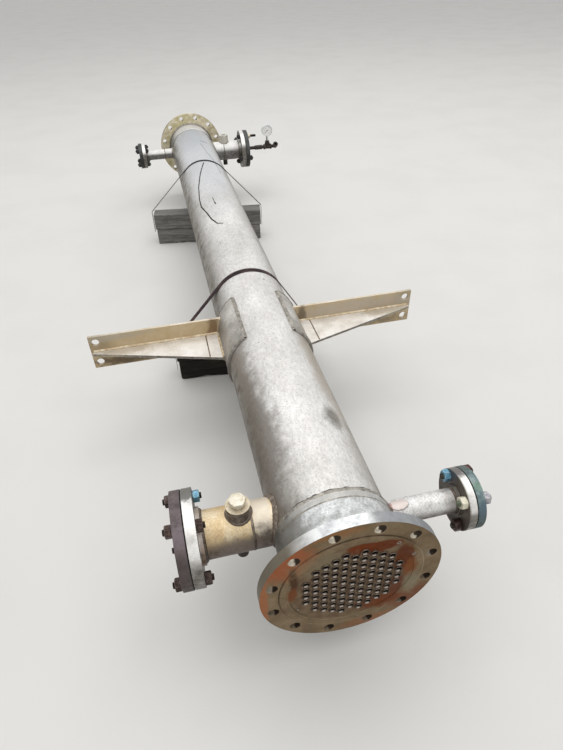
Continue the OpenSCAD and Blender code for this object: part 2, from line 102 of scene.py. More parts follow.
class Kind(Enum):
    """Shader nodes that the finishes are made of: type, output, inputs in the order of use, and settings."""

    PLACE = ("TexCoord", "Object", (), {})
    FACING = ("TexCoord", "Normal", (), {})
    TRUE_FACING = ("NewGeometry", "Normal", (), {})
    MAPPING = ("Mapping", 0, ("Vector", "Scale", "Location", "Rotation"), {})
    SIDEWAYS = ("SeparateXYZ", 0, (0,), {})
    ALONG = ("SeparateXYZ", 1, (0,), {})
    UPWARD = ("SeparateXYZ", 2, (0,), {})
    JOIN = ("CombineXYZ", 0, (0, 1, 2), {})
    LENGTH = ("VectorMath", "Value", (0,), {"operation": "LENGTH"})
    DOT = ("VectorMath", "Value", (0, 1), {"operation": "DOT_PRODUCT"})
    ADD = ("Math", 0, (0, 1), {"operation": "ADD"})
    SUBTRACT = ("Math", 0, (0, 1), {"operation": "SUBTRACT"})
    MULTIPLY = ("Math", 0, (0, 1), {"operation": "MULTIPLY"})
    MULTIPLY_ADD = ("Math", 0, (0, 1, 2), {"operation": "MULTIPLY_ADD"})
    DIVIDE = ("Math", 0, (0, 1), {"operation": "DIVIDE"})
    LARGER = ("Math", 0, (0, 1), {"operation": "MAXIMUM"})
    EASE = ("MapRange", 0, (0, 1, 2, 3, 4), {"interpolation_type": "SMOOTHSTEP"})
    RAMP = ("ValToRGB", 0, (0,), {})
    BLEND = ("Mix", 2, (0, 6, 7), {"data_type": "RGBA"})
    TINT = ("Mix", 2, (0, 6, 7), {"data_type": "RGBA", "blend_type": "MULTIPLY"})
    NOISE = ("TexNoise", 0, ("Vector", "Scale", "Detail", "Roughness", "Distortion"), {})
    CRACKS = ("TexVoronoi", 0, ("Vector", "Scale"), {"feature": "DISTANCE_TO_EDGE"})
    BUMP = ("Bump", 0, ("Height", "Distance", "Normal"), {})
    ROUND_EDGE = ("Bevel", 0, ("Radius",), {"samples": 4})
    LIGHT_PATH = ("LightPath", 0, (), {})
    SURFACE = ("BsdfPrincipled", 0, (), {})


def linear(code: str) -> tuple[float, ...]:
    """Turns an sRGB hex colour into linear light.

    Args:
        code: Colour such as "#7f705e".

    Returns:
        Red, green, blue and an alpha of 1.
    """
    channels = [int(code[i : i + 2], 16) / 255.0 for i in (1, 3, 5)]
    return *(c / 12.92 if c <= 0.04045 else ((c + 0.055) / 1.055) ** 2.4 for c in channels), 1.0


def put(
    tree: bpy.types.NodeTree,
    kind: Kind,
    *values: object,
    named: dict[str, object] | None = None,
    stops: Iterable[tuple[float, str]] = (),
) -> Socket:
    """Adds a node with its settings and links.

    Args:
        tree: Node tree that gets the node.
        kind: Type of the node, with its settings.
        values: Sockets to link from, numbers or hex colours, for the kind's inputs in their order.
        named: The same for inputs by name.
        stops: Places and hex colours of a colour ramp.

    Returns:
        The output that the kind names.
    """
    type_name, output, inputs, settings = kind.value
    node = tree.nodes.new(f"ShaderNode{type_name}")
    for name, setting in settings.items():
        setattr(node, name, setting)
    for key, value in [*zip(inputs, values), *(named or {}).items()]:
        if isinstance(value, Socket):
            tree.links.new(value, node.inputs[key])
        else:
            node.inputs[key].default_value = linear(value) if isinstance(value, str) else value
    for place, (position, colour) in enumerate(stops):
        elements = node.color_ramp.elements
        element = elements[place] if place < len(elements) else elements.new(position)
        element.position = position
        element.color = linear(colour)
    return node.outputs[output]


@dataclass(frozen=True)
class Stain:
    """A ragged patch of another colour.

    Attributes:
        centre: Middle of the patch, in millimetres.
        radii: Reach of the patch along X, Y and Z, in millimetres.
        colour: Hex colour.
        amount: How much of the colour covers the metal, from 0 to 1.
        ragged: How far the edge wanders, as a share of the radii.
        soft: Width of the edge as a share of the radii.
    """

    centre: Vec
    radii: Vec
    colour: str
    amount: float
    ragged: float
    soft: float

    def lay(self, add: Add, place: Socket, wander: Socket, colour: Socket) -> Socket:
        """Lays the patch over a colour.

        Args:
            add: Adds a node to the material.
            place: Object coordinates.
            wander: Noise from 0 to 1 that moves the edge.
            colour: Colour under the patch.

        Returns:
            The colour with the patch on it.
        """
        scale = tuple(1 / (r * MM) for r in self.radii)
        shift = tuple(-c / r for c, r in zip(self.centre, self.radii))
        distance = add(Kind.LENGTH, add(Kind.MAPPING, place, scale, shift))
        wandered = add(Kind.MULTIPLY_ADD, wander, 2.0 * self.ragged, distance)
        edge = 1.0 + self.ragged
        cover = add(Kind.EASE, wandered, edge - self.soft, edge + self.soft, self.amount, 0.0)
        return add(Kind.BLEND, cover, colour, self.colour)


@dataclass(frozen=True)
class Finish:
    """What every finish has: a name and a way to make its material. Its lengths are millimetres."""

    name: str

    def dress(self, add: Add) -> dict[str, object]:
        """Makes the colour, roughness and relief.

        Args:
            add: Adds a node to the material.

        Returns:
            Inputs of the principled shader.
        """
        raise NotImplementedError

    def material(self) -> bpy.types.Material:
        """Makes the material of this finish once, and finds it again after that."""
        found = bpy.data.materials.get(self.name)
        if found is not None:
            return found
        made = bpy.data.materials.new(self.name)
        made.use_nodes = True
        tree = made.node_tree
        output = next(n for n in tree.nodes if n.type == "OUTPUT_MATERIAL")
        tree.nodes.remove(next(n for n in tree.nodes if n.type == "BSDF_PRINCIPLED"))
        inputs = self.dress(partial(put, tree))
        tree.links.new(put(tree, Kind.SURFACE, named=inputs), output.inputs["Surface"])
        return made


@dataclass(frozen=True)
class Metal(Finish):
    """Rolled, forged, machined or rusted metal, clouded and speckled.

    Attributes:
        dark: Colour of the darkest clouds.
        mid: Main colour.
        light: Colour of the lightest clouds.
        side: Colour towards which steep and hanging faces turn, as painted shade, or nothing.
        slope: Upward part of the normal at which the side colour starts, and at which it is full.
        cloud: Size of the clouds.
        speckle: Size of the speckles.
        speckled: How strongly the speckles darken and lighten.
        stretch: How much longer the patterns are along X, Y and Z.
        metallic: Metallic share.
        roughness: Roughness of the smooth and of the rough spots.
        relief: Height of the fine relief.
        worn: Colour of the bare metal along edges, or nothing.
        edge: Width of the worn edge.
        stains: Patches laid over all that.
        wander: Size of the waves along the patches' edges.
        pitted: How strongly small dark pits show.
        pit: Size of the pits.
        pit_colour: Colour of the pits.
        specular: Strength of the plain gloss where the metal isn't bare.
    """

    dark: str
    mid: str
    light: str
    side: str = ""
    slope: tuple[float, float] = (0.75, -0.1)
    cloud: float = 9
    speckle: float = 3
    speckled: float = 0.35
    stretch: Vec = (1, 1, 1)
    metallic: float = 0.3
    roughness: tuple[float, float] = (0.38, 0.62)
    relief: float = 0.25
    worn: str = ""
    edge: float = 1.5
    stains: tuple[Stain, ...] = ()
    wander: float = 14
    pitted: float = 0.0
    pit: float = 4.5
    pit_colour: str = "#7d776c"
    specular: float = 0.5

    def base(self, add: Add, place: Socket) -> Socket:
        """Makes the clouded colour under the speckles, side dirt and stains.

        Args:
            add: Adds a node to the material.
            place: Stretched object coordinates.

        Returns:
            The colour.
        """
        clouds = add(Kind.NOISE, place, 1 / (self.cloud * MM), 6.0, 0.62)
        return add(Kind.RAMP, clouds, stops=((0.3, self.dark), (0.5, self.mid), (0.7, self.light)))

    def dress(self, add: Add) -> dict[str, object]:
        """Makes the colour, roughness and relief. See the class for what each layer is."""
        plain = add(Kind.PLACE)
        stretched = add(Kind.MAPPING, plain, tuple(1 / s for s in self.stretch))
        speckles = add(Kind.NOISE, stretched, 1 / (self.speckle * MM), 4.0, 0.7)
        broad = add(Kind.NOISE, plain, 1 / (self.wander * MM), 5.0, 0.65)
        grain = add(Kind.EASE, speckles, 0.28, 0.72, 1.0 - self.speckled, 1.0 + 0.45 * self.speckled)
        tint = add(Kind.JOIN, grain, grain, grain)
        colour = add(Kind.TINT, 1.0, self.base(add, stretched), tint)
        if self.pitted:
            pits = add(Kind.NOISE, plain, 1 / (self.pit * MM), 3.0, 0.6)
            cover = add(Kind.EASE, pits, 0.58, 0.63, 0.0, self.pitted)
            colour = add(Kind.BLEND, cover, colour, self.pit_colour)
        # Painted shade: steep and hanging faces turn unevenly towards the side colour.
        if self.side:
            steep = add(Kind.EASE, add(Kind.UPWARD, add(Kind.FACING)), *self.slope)
            uneven = add(Kind.EASE, broad, 0.25, 0.75, 0.72, 1.0)
            colour = add(Kind.BLEND, add(Kind.MULTIPLY, steep, uneven), colour, self.side)
        for stain in self.stains:
            colour = stain.lay(add, plain, broad, colour)
        relief: list[object] = [add(Kind.ADD, speckles, broad), self.relief * MM]
        if self.worn:
            round_edge = add(Kind.ROUND_EDGE, self.edge * MM)
            same = add(Kind.DOT, round_edge, add(Kind.TRUE_FACING))
            near_edge = add(Kind.EASE, same, 0.999, 0.93)
            bare = add(Kind.MULTIPLY, near_edge, add(Kind.EASE, speckles, 0.3, 0.6))
            colour = add(Kind.BLEND, bare, colour, self.worn)
            relief.append(round_edge)
        return {
            "Base Color": colour,
            "Metallic": self.metallic,
            "Roughness": add(Kind.EASE, broad, 0.3, 0.7, *self.roughness),
            "Normal": add(Kind.BUMP, *relief),
            "Specular IOR Level": self.specular,
        }


@dataclass(frozen=True)
class TubeEnds(Metal):
    """Cut ends of tubes: light falls on the bottom of each bore's mouth, and the rest lies in the dark.

    Attributes:
        lit: Colour of the bottom of the mouth.
        twilight: Colour of the mouth's sides.
        unlit: Colour of the rest of the bore.
        middle: Middle of the tubes along Y.
        mouth: Distance from the middle at which the lit mouths begin.
    """

    lit: str = "#f6e9dc"
    twilight: str = "#3f342c"
    unlit: str = "#120d0b"
    middle: float = 1676.5
    mouth: float = 1675.2

    def dress(self, add: Add) -> dict[str, object]:
        """Makes the end faces as for other metal, and the lit and unlit parts of the bores."""
        inputs = super().dress(add)
        facing, place = add(Kind.FACING), add(Kind.PLACE)
        from_middle = add(Kind.MAPPING, place, (0.0, 1.0, 0.0), (0.0, -self.middle * MM, 0.0))
        wander = add(Kind.NOISE, place, 1 / (9 * MM), 3.0)
        depth = add(Kind.MULTIPLY_ADD, wander, 2 * MM, add(Kind.LENGTH, from_middle))
        outer = add(Kind.EASE, depth, self.mouth * MM, (self.mouth + 1.6) * MM)
        bottom = add(Kind.EASE, add(Kind.UPWARD, facing), 0.74, 0.97)
        bore = add(Kind.BLEND, outer, self.unlit, self.twilight)
        bore = add(Kind.BLEND, add(Kind.MULTIPLY, outer, bottom), bore, self.lit)
        end = add(Kind.LENGTH, add(Kind.MAPPING, facing, (0.0, 1.0, 0.0)))
        end = add(Kind.EASE, end, 0.5, 0.8)
        inputs["Base Color"] = add(Kind.BLEND, end, bore, inputs["Base Color"])
        return inputs


@dataclass(frozen=True)
class Tubesheet(Metal):
    """Stainless plate, turned on a lathe, with a face that rust has run over and a bare rim and back.

    The turning marks are circles round the shell's axis.

    Attributes:
        inner: Colour between the tubes.
        inner_dark: Darker colour between the tubes.
        ring_r: Radius of the raised gasket ring's inner edge.
        groove: Distance between two turning marks, drawn coarse enough to show.
        front: Direction of the rusty face along Y.
        bare: Colour of the rim and the back.
        bare_dark: Darker colour of the rim and the back.
        bare_side: Colour of the painted shade on the rim where it hangs over, on the left.
        bare_right: Colour of the painted shade on the rim where it hangs over, on the right.
        bare_metallic: Metallic share of the rim and the back.
        bare_growth: Colour of the growth on the rim and the back.
        grown: How strongly the growth shows.
        rim_r: Radius inside which bare faces are the walls of the bolt holes.
    """

    inner: str = "#6b5a4a"
    inner_dark: str = "#5c4534"
    ring_r: float = 140
    groove: float = 5
    front: float = -1.0
    bare: str = "#f0f2f2"
    bare_dark: str = "#c3c5c7"
    bare_side: str = "#5f5848"
    bare_right: str = "#85878b"
    bare_metallic: float = 0.55
    bare_growth: str = "#b5ac74"
    grown: float = 0.0
    rim_r: float = 198

    def base(self, add: Add, place: Socket) -> Socket:
        """Makes the clouded rust, another tone inside the gasket ring, the turning marks, and painted shade
        and highlight along the ring's edges.
        """
        outer = super().base(add, place)
        radius = add(Kind.LENGTH, add(Kind.MAPPING, place, (1.0, 0.0, 1.0)))
        patches = add(Kind.NOISE, place, 1 / (22 * MM), 5.0)
        between = add(Kind.BLEND, add(Kind.EASE, patches, 0.35, 0.65), self.inner, self.inner_dark)
        inside = add(Kind.EASE, radius, (self.ring_r + 2) * MM, (self.ring_r - 6) * MM)
        colour = add(Kind.BLEND, inside, outer, between)
        across = add(Kind.JOIN, add(Kind.DIVIDE, radius, self.groove * MM))
        marks = add(Kind.NOISE, across, 1.0, 2.0)
        colour = add(Kind.BLEND, add(Kind.EASE, marks, 0.58, 0.75, 0.0, 0.4), colour, "#ab9a86")
        colour = add(Kind.BLEND, add(Kind.EASE, marks, 0.42, 0.28, 0.0, 0.4), colour, "#54442f")
        # Painted shade and highlight of the gasket ring's steps: the edge lines run dark to the upper left
        # and light to the lower right.
        side = add(Kind.EASE, add(Kind.DOT, place, (0.6, 0.0, -0.8)), -50 * MM, 70 * MM)
        line = add(Kind.BLEND, side, "#463623", "#a6967b")
        for r, strength in ((self.ring_r + 22, 0.85), (self.ring_r, 0.5)):
            off = add(Kind.LENGTH, add(Kind.JOIN, add(Kind.SUBTRACT, radius, r * MM)))
            near = add(Kind.EASE, off, 2.2 * MM, 0.6 * MM, 0.0, strength)
            uneven = add(Kind.MULTIPLY, near, add(Kind.EASE, patches, 0.3, 0.55, 0.6, 1.0))
            colour = add(Kind.BLEND, uneven, colour, line)
        return colour

    def dress(self, add: Add) -> dict[str, object]:
        """Makes the rusty face as for other metal, and bare metal where the plate faces another way, with
        painted shade on the rim and painted light and shade in the bolt holes.
        """
        inputs = super().dress(add)
        place, facing = add(Kind.PLACE), add(Kind.FACING)
        forward = add(Kind.MULTIPLY, add(Kind.ALONG, facing), self.front)
        face = add(Kind.EASE, forward, 0.35, 0.75)
        radius = add(Kind.LENGTH, add(Kind.MAPPING, place, (1.0, 0.0, 1.0)))
        edge_only = add(Kind.EASE, forward, -0.75, -0.35)
        ring_wall = add(Kind.EASE, radius, (self.ring_r + 27) * MM, (self.ring_r + 25) * MM)
        face = add(Kind.LARGER, face, add(Kind.MULTIPLY, ring_wall, edge_only))
        clouds = add(Kind.NOISE, place, 1 / (30 * MM), 6.0, 0.65)
        bare = add(Kind.BLEND, add(Kind.EASE, clouds, 0.4, 0.68), self.bare, self.bare_dark)
        growth = add(Kind.NOISE, place, 1 / (60 * MM), 3.0)
        bare = add(Kind.BLEND, add(Kind.EASE, growth, 0.5, 0.62, 0.0, self.grown), bare, self.bare_growth)
        # Painted shade: the bare rim turns darker where it faces sideways, down or to the right.
        rightward = add(Kind.EASE, add(Kind.SIDEWAYS, facing), -0.1, 0.3)
        rim_shade_colour = add(Kind.BLEND, rightward, self.bare_side, self.bare_right)
        hanging = add(Kind.EASE, add(Kind.UPWARD, facing), 0.97, 0.7, 0.0, 0.95)
        hanging = add(Kind.LARGER, hanging, add(Kind.EASE, rightward, 0.5, 1.0, 0.0, 0.85))
        bare = add(Kind.BLEND, add(Kind.MULTIPLY, hanging, edge_only), bare, rim_shade_colour)
        # Painted light and shade in the bolt holes: walls facing left are lit, brightest in the upper half,
        # and the rest lies dark.
        patches = add(Kind.NOISE, place, 1 / (6 * MM), 3.0)
        leftward = add(Kind.MULTIPLY_ADD, patches, 0.9, add(Kind.SIDEWAYS, facing))
        lit = add(Kind.EASE, leftward, 0.15, 0.5)
        wall = add(Kind.BLEND, lit, "#3b3028", "#9c8d78")
        high = add(Kind.EASE, add(Kind.UPWARD, place), 0.0, 100 * MM)
        wall = add(Kind.BLEND, add(Kind.MULTIPLY, high, lit), wall, "#fbf3e2")
        in_hole = add(Kind.EASE, radius, (self.rim_r + 2) * MM, self.rim_r * MM)
        bare = add(Kind.BLEND, add(Kind.MULTIPLY, in_hole, edge_only), bare, wall)
        inputs["Base Color"] = add(Kind.BLEND, face, bare, inputs["Base Color"])
        inputs["Metallic"] = add(Kind.EASE, forward, 0.35, 0.75, self.bare_metallic, self.metallic)
        inputs["Specular IOR Level"] = add(Kind.EASE, forward, 0.35, 0.75, 0.5, 0.12)
        return inputs


@dataclass(frozen=True)
class Wood(Finish):
    """Weathered softwood: long grain with bands, and open checks.

    Attributes:
        dark: Colour in the checks and late wood.
        mid: Main colour.
        light: Colour of the dry high grain, and of the painted light on faces that look up.
        skew: Turn of the timber about Z, in degrees.
        split: How strongly the checks show.
        dried: How much paler the faces that look up are, as painted light from above.
        grain: Distance between two grain bands.
    """

    dark: str
    mid: str
    light: str
    skew: float
    split: float
    dried: float = 0.0
    grain: float = 7

    def dress(self, add: Add) -> dict[str, object]:
        """Makes grain from noise that is drawn out along the timber, and checks from thin drawn-out cells."""
        plain = add(Kind.PLACE)
        turn = (0.0, 0.0, -math.radians(self.skew))
        along = add(Kind.MAPPING, plain, (1.0, 1.0, 1.0), (0.0, 0.0, 0.0), turn)
        drawn = add(Kind.MAPPING, along, (0.045, 1.0, 1.0))
        bands = add(Kind.NOISE, drawn, 1 / (self.grain * MM), 6.0, 0.5, 0.6)
        fibres = add(Kind.NOISE, drawn, 1 / (1.6 * MM), 3.0)
        clouds = add(Kind.NOISE, plain, 1 / (70 * MM), 4.0)
        colour = add(Kind.RAMP, bands, stops=((0.3, self.dark), (0.5, self.mid), (0.72, self.light)))
        colour = add(Kind.BLEND, add(Kind.EASE, fibres, 0.62, 0.4, 0.0, 0.55), colour, self.dark)
        colour = add(Kind.BLEND, add(Kind.EASE, clouds, 0.5, 0.75, 0.0, 0.5), colour, self.light)
        colour = add(Kind.BLEND, add(Kind.EASE, clouds, 0.45, 0.25, 0.0, 0.6), colour, self.dark)
        # Painted light: faces that look up turn towards the light colour.
        top = add(Kind.EASE, add(Kind.UPWARD, add(Kind.FACING)), 0.4, 0.8, 0.0, self.dried)
        colour = add(Kind.BLEND, top, colour, self.light)
        split = add(Kind.EASE, add(Kind.CRACKS, drawn, 1 / (26 * MM)), 0.05, 0.0, 0.0, self.split)
        colour = add(Kind.BLEND, split, colour, "#0d0b09")
        height = add(Kind.SUBTRACT, add(Kind.ADD, bands, fibres), add(Kind.MULTIPLY, split, 2.0))
        relief = add(Kind.BUMP, height, 0.8 * MM)
        return {"Base Color": colour, "Roughness": 0.88, "Normal": relief, "Specular IOR Level": 0.25}


@dataclass(frozen=True)
class Plain(Finish):
    """A smooth finish with only faint dust: enamelled dial, printed ink, glass or rubber.

    Attributes:
        colour: Main colour.
        dust: Colour of the dust.
        roughness: Roughness.
        alpha: How much it covers what is behind it.
        cloud: Size of the dust's clouds.
    """

    colour: str
    dust: str
    roughness: float
    alpha: float = 1.0
    cloud: float = 12

    def dress(self, add: Add) -> dict[str, object]:
        """Makes one colour with clouds of dust, and the least relief."""
        clouds = add(Kind.NOISE, add(Kind.PLACE), 1 / (self.cloud * MM), 5.0)
        rougher = min(1.0, self.roughness + 0.15)
        return {
            "Base Color": add(Kind.BLEND, add(Kind.EASE, clouds, 0.4, 0.7), self.colour, self.dust),
            "Roughness": add(Kind.EASE, clouds, 0.3, 0.7, self.roughness, rougher),
            "Alpha": self.alpha,
            "Normal": add(Kind.BUMP, clouds, 0.05 * MM),
        }


# Shapes as grids of points


def unit(vectors: np.ndarray) -> np.ndarray:
    """Scales vectors to a length of 1 along the last axis."""
    return vectors / np.linalg.norm(vectors, axis=-1, keepdims=True)


def outward(path: np.ndarray) -> np.ndarray:
    """Gives the direction away from the shell's axis at each point."""
    return unit(path * (X + Z))


def all_round(count: int) -> np.ndarray:
    """Gives angles at even steps round a full turn."""
    return np.linspace(0.0, TURN, count, endpoint=False)


def joined(x: object, y: object, z: object) -> np.ndarray:
    """Joins three coordinates, each a number or an array, into points."""
    return np.stack(np.broadcast_arrays(x, y, z), -1)


def lumps(points: np.ndarray, size: float, seed: int) -> np.ndarray:
    """Gives a smooth random value at each point.

    Every corner of a grid of cubes gets a random number from its whole coordinates and the seed. A
    point's value is the mix of its cube's eight corners, with weights that ease in and out.

    Args:
        points: Array that ends in an axis of 3.
        size: Side of a cube.
        seed: Number that picks the pattern.

    Returns:
        Values from -1 to 1, one for each point.
    """
    scaled = points / size + 100.0
    cell = np.floor(scaled).astype(np.int64)
    part = scaled - cell
    part = part * part * (3.0 - 2.0 * part)
    total = np.zeros(points.shape[:-1])
    for corner in np.ndindex(2, 2, 2):
        x, y, z = (cell[..., k] + corner[k] for k in range(3))
        mixed = (x * 73856093) ^ (y * 19349663) ^ (z * 83492791) ^ (seed * 2654435761)
        mixed = (mixed ^ (mixed >> 13)) * 1274126177
        value = ((mixed ^ (mixed >> 16)) & 0xFFFF) / 32767.5 - 1.0
        weight = np.prod([part[..., k] if corner[k] else 1.0 - part[..., k] for k in range(3)], axis=0)
        total += value * weight
    return total


@dataclass
class Surface:
    """A grid of points that becomes a skin of quads.

    Attributes:
        points: Rows by columns by 3. The columns always wrap round.
        loops: Whether the last row joins the first. Otherwise a fan closes each end row.
        finish: Place of this skin's material in the piece's list.
    """

    points: np.ndarray
    loops: bool = False
    finish: int = 0

    def faces(self, first: int) -> tuple[np.ndarray, list[list[int]]]:
        """Numbers the corners of the quads and of the fans that close the ends.

        Args:
            first: Number of this skin's first point in the whole mesh.

        Returns:
            All points with the fans' middles after them, and the faces.
        """
        rows, columns = self.points.shape[:2]
        number = np.arange(rows * columns).reshape(rows, columns) + first
        here = number if self.loops else number[:-1]
        there = np.roll(number, -1, axis=0)[: len(here)]
        quads = np.stack([here, np.roll(here, -1, 1), np.roll(there, -1, 1), there], -1)
        faces = quads.reshape(-1, 4).tolist()
        points = self.points.reshape(-1, 3)
        if not self.loops:
            for end, row in enumerate((number[0], number[-1])):
                middle = np.full(columns, first + rows * columns + end)
                faces += np.stack([row, np.roll(row, -1), middle], -1).tolist()
            points = np.concatenate([points, self.points[[0, -1]].mean(axis=1)])
        return points, faces


def stand(name: str, data: bpy.types.ID) -> bpy.types.Object:
    """Makes an object and puts it into the scene.

    Args:
        name: Name of the object.
        data: Its mesh, text, lamp or camera.

    Returns:
        The object.
    """
    made = bpy.data.objects.new(name, data)
    bpy.context.scene.collection.objects.link(made)
    return made


def assemble(
    name: str,
    surfaces: list[Surface],
    finishes: list[Finish],
    replaced: str = "",
    sharp: float = 38.0,
) -> None:
    """Makes one piece of several skins, points its faces outwards and lets it ride on the body.

    Args:
        name: Name of the piece.
        surfaces: Skins of the piece.
        finishes: Finishes that the skins choose from.
        replaced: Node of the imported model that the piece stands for, or nothing.
        sharp: Angle in degrees from which an edge is drawn sharp.
    """
    points: list[np.ndarray] = []
    faces: list[list[int]] = []
    marks: list[int] = []
    first = 0
    for surface in surfaces:
        own_points, own_faces = surface.faces(first)
        points.append(own_points)
        faces += own_faces
        marks += [surface.finish] * len(own_faces)
        first += len(own_points)
    mesh = bpy.data.meshes.new(name)
    mesh.from_pydata(np.concatenate(points).tolist(), [], faces)
    mesh.polygons.foreach_set("material_index", marks)
    shape = bmesh.new()
    shape.from_mesh(mesh)
    bmesh.ops.remove_doubles(shape, verts=shape.verts, dist=1e-6)
    bmesh.ops.recalc_face_normals(shape, faces=shape.faces)
    shape.to_mesh(mesh)
    shape.free()
    mesh.shade_smooth()
    mesh.set_sharp_from_angle(angle=math.radians(sharp))
    for finish in finishes:
        mesh.materials.append(finish.material())
    piece = stand(name, mesh)
    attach(piece, BODY)
    if replaced:
        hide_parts(replaced)
    LOG.info("%s: %d faces", name, len(mesh.polygons))


def give(node: str, finish: Finish) -> None:
    """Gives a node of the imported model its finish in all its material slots.

    Args:
        node: Name of the node.
        finish: Finish that it gets.
    """
    mesh = bpy.data.objects[node].data
    if not mesh.materials:
        mesh.materials.append(finish.material())
    for place in range(len(mesh.materials)):
        mesh.materials[place] = finish.material()
    LOG.info("%s: %s", node, finish.name)


@dataclass(frozen=True)
class Axis:
    """A line with two directions square to it and to each other.

    Attributes:
        origin: Point on the line.
        along: Direction of the line.
        zero: Direction at an angle of 0.
    """

    origin: np.ndarray
    along: np.ndarray
    zero: np.ndarray

    def place(self, distance: object, radius: object, angle: object) -> np.ndarray:
        """Gives points from a distance along the line, a radius and an angle about it.

        The point is origin + distance × along + radius × (cos angle × zero + sin angle × along × zero).

        Args:
            distance: Number or array.
            radius: Number or array.
            angle: Number or array, in radians.

        Returns:
            Points in the shape that the three arrays have together.
        """
        distance, radius, angle = (a[..., None] for a in np.broadcast_arrays(distance, radius, angle))
        around = np.cos(angle) * self.zero + np.sin(angle) * np.cross(self.along, self.zero)
        return self.origin + distance * self.along + radius * around

    def moved(self, radius: float, angle: float = 0.0) -> Axis:
        """Gives a parallel line whose zero direction points away from this one.

        Args:
            radius: How far the new line lies from this one.
            angle: At which angle it lies, in radians.

        Returns:
            The new line.
        """
        away = self.place(0.0, 1.0, angle) - self.origin
        return Axis(self.origin + radius * away, self.along, away)

    def turned(
        self, profile: Iterable[tuple[float, float]], steps: int, size: float = MM, loops: bool = False
    ) -> Surface:
        """Turns a profile round the line.

        Args:
            profile: Distances along the line in millimetres, each with its radius.
            steps: Points round the line.
            size: Unit of the radii in metres.
            loops: Whether the profile's end joins its start.

        Returns:
            The turned skin.
        """
        distance, radius = np.array(list(profile), float).T[..., None]
        return Surface(self.place(distance * MM, radius * size, all_round(steps)), loops)


def carry(
    path: np.ndarray,
    first: np.ndarray,
    second: np.ndarray,
    profile: np.ndarray,
    seed: int,
    closed: bool,
    finish: int = 0,
    aside: object = 0.0,
) -> Surface:
    """Carries a weld's closed profile along a path.

    A point is path + (aside + size × profile's first number) × first direction + size × its second
    number × second direction. The size is 0.95 + 0.09 × |sin(half turn × length / ripple)| + 0.14 ×
    slow lumps.

    Args:
        path: Points of the path.
        first: Direction for the profile's first number, one for all points or one for each.
        second: The same for its second number.
        profile: Two numbers for each of its corners.
        seed: Number that picks the slow changes.
        closed: Whether the path's end joins its start.
        finish: Place of the material in the piece's list.
        aside: How far the weld lies aside of the path along the first direction, at each point.

    Returns:
        The carried skin.
    """
    length = np.cumsum(np.linalg.norm(np.diff(path, axis=0, prepend=path[:1]), axis=1))
    ripples = max(1, round(length[-1] / RIPPLE))
    ripple = np.abs(np.sin(length / length[-1] * math.pi * ripples))
    size = 0.95 + 0.09 * ripple + 0.14 * lumps(path, 18 * MM, seed)
    u, v = (profile * size[:, None, None])[..., None].transpose(2, 0, 1, 3)
    u = u + np.reshape(aside, (-1, 1, 1))
    first, second = (np.broadcast_to(way, path.shape)[:, None] for way in (first, second))
    return Surface(path[:, None] + u * first + v * second, closed, finish)


def fillet(
    path: np.ndarray, first: np.ndarray, second: np.ndarray, leg: float, seed: int, closed: bool = True
) -> Surface:
    """Makes a fillet weld in the corner between two faces.

    Its front runs from leg × first to leg × second, as leg × (cos^1.35 t × first + sin^1.35 t × second),
    which bulges a little beyond the straight line. Its back lies inside the corner.

    Args:
        path: Points of the corner.
        first: Direction away from the corner along one face.
        second: The same along the other face.
        leg: Length of the weld's legs.
        seed: Number that picks the slow changes.
        closed: Whether the path's end joins its start.

    Returns:
        The weld's skin.
    """
    t = np.linspace(0.0, math.pi / 2, 6)
    front = np.stack([np.cos(t), np.sin(t)], -1) ** 1.35
    profile = np.concatenate([front, [[-0.25, 0.5], [-0.25, -0.25], [0.5, -0.25]]])
    return carry(path, first, second, leg * profile, seed, closed)


def bead(
    path: np.ndarray,
    across: np.ndarray,
    up: np.ndarray,
    width: float,
    height: float,
    seed: int,
    closed: bool = True,
    jagged: float = 0.0,
    finish: int = 0,
) -> Surface:
    """Makes a weld bead on a face: half an ellipse with its foot inside the face.

    Args:
        path: Points of the bead's middle line on the face.
        across: Direction across the bead.
        up: Direction away from the face.
        width: Width of the bead in millimetres.
        height: Height of the bead in millimetres.
        seed: Number that picks the slow changes.
        closed: Whether the path's end joins its start.
        jagged: How far the edges wander sideways, in millimetres.
        finish: Place of the material in the piece's list.

    Returns:
        The bead's skin.
    """
    t = np.linspace(0.0, math.pi, 7)
    half = np.concatenate([np.stack([np.cos(t), np.sin(t)], -1), [[-0.84, -0.6], [0.84, -0.6]]])
    profile = half * (width / 2 * MM, height * MM)
    wander = jagged * MM * lumps(path, 9 * MM, seed + 7)
    return carry(path, across, up, profile, seed, closed, finish, wander)


def saddle(
    centre: np.ndarray, along: np.ndarray, out: np.ndarray, branch_r: float, base_r: Callable
) -> tuple[np.ndarray, np.ndarray, np.ndarray]:
    """Finds the corner where a branch pipe stands square on a base pipe.

    At an angle t round the branch, the point lies r cos t along the base and r sin t to its side, and
    the square root of base radius² - (r sin t)² above the base's axis.

    Args:
        centre: Point where the two axes meet.
        along: Direction of the base pipe.
        out: Direction of the branch pipe.
        branch_r: Radius of the branch.
        base_r: Gives the base's radius from the points' places along its axis.

    Returns:
        The corner's points, the direction out along the branch, and the one away along the base's skin.
    """
    t = all_round(120)[:, None]
    beside = np.cross(along, out)
    away = np.cos(t) * along + np.sin(t) * beside
    level = centre + branch_r * away
    radius = base_r(level @ along)[:, None]
    rise = np.sqrt(radius**2 - (branch_r * np.sin(t)) ** 2)
    skin = (branch_r * np.sin(t) * beside + rise * out) / radius
    return level + rise * out, out, unit(away - np.sum(away * skin, axis=1, keepdims=True) * skin)


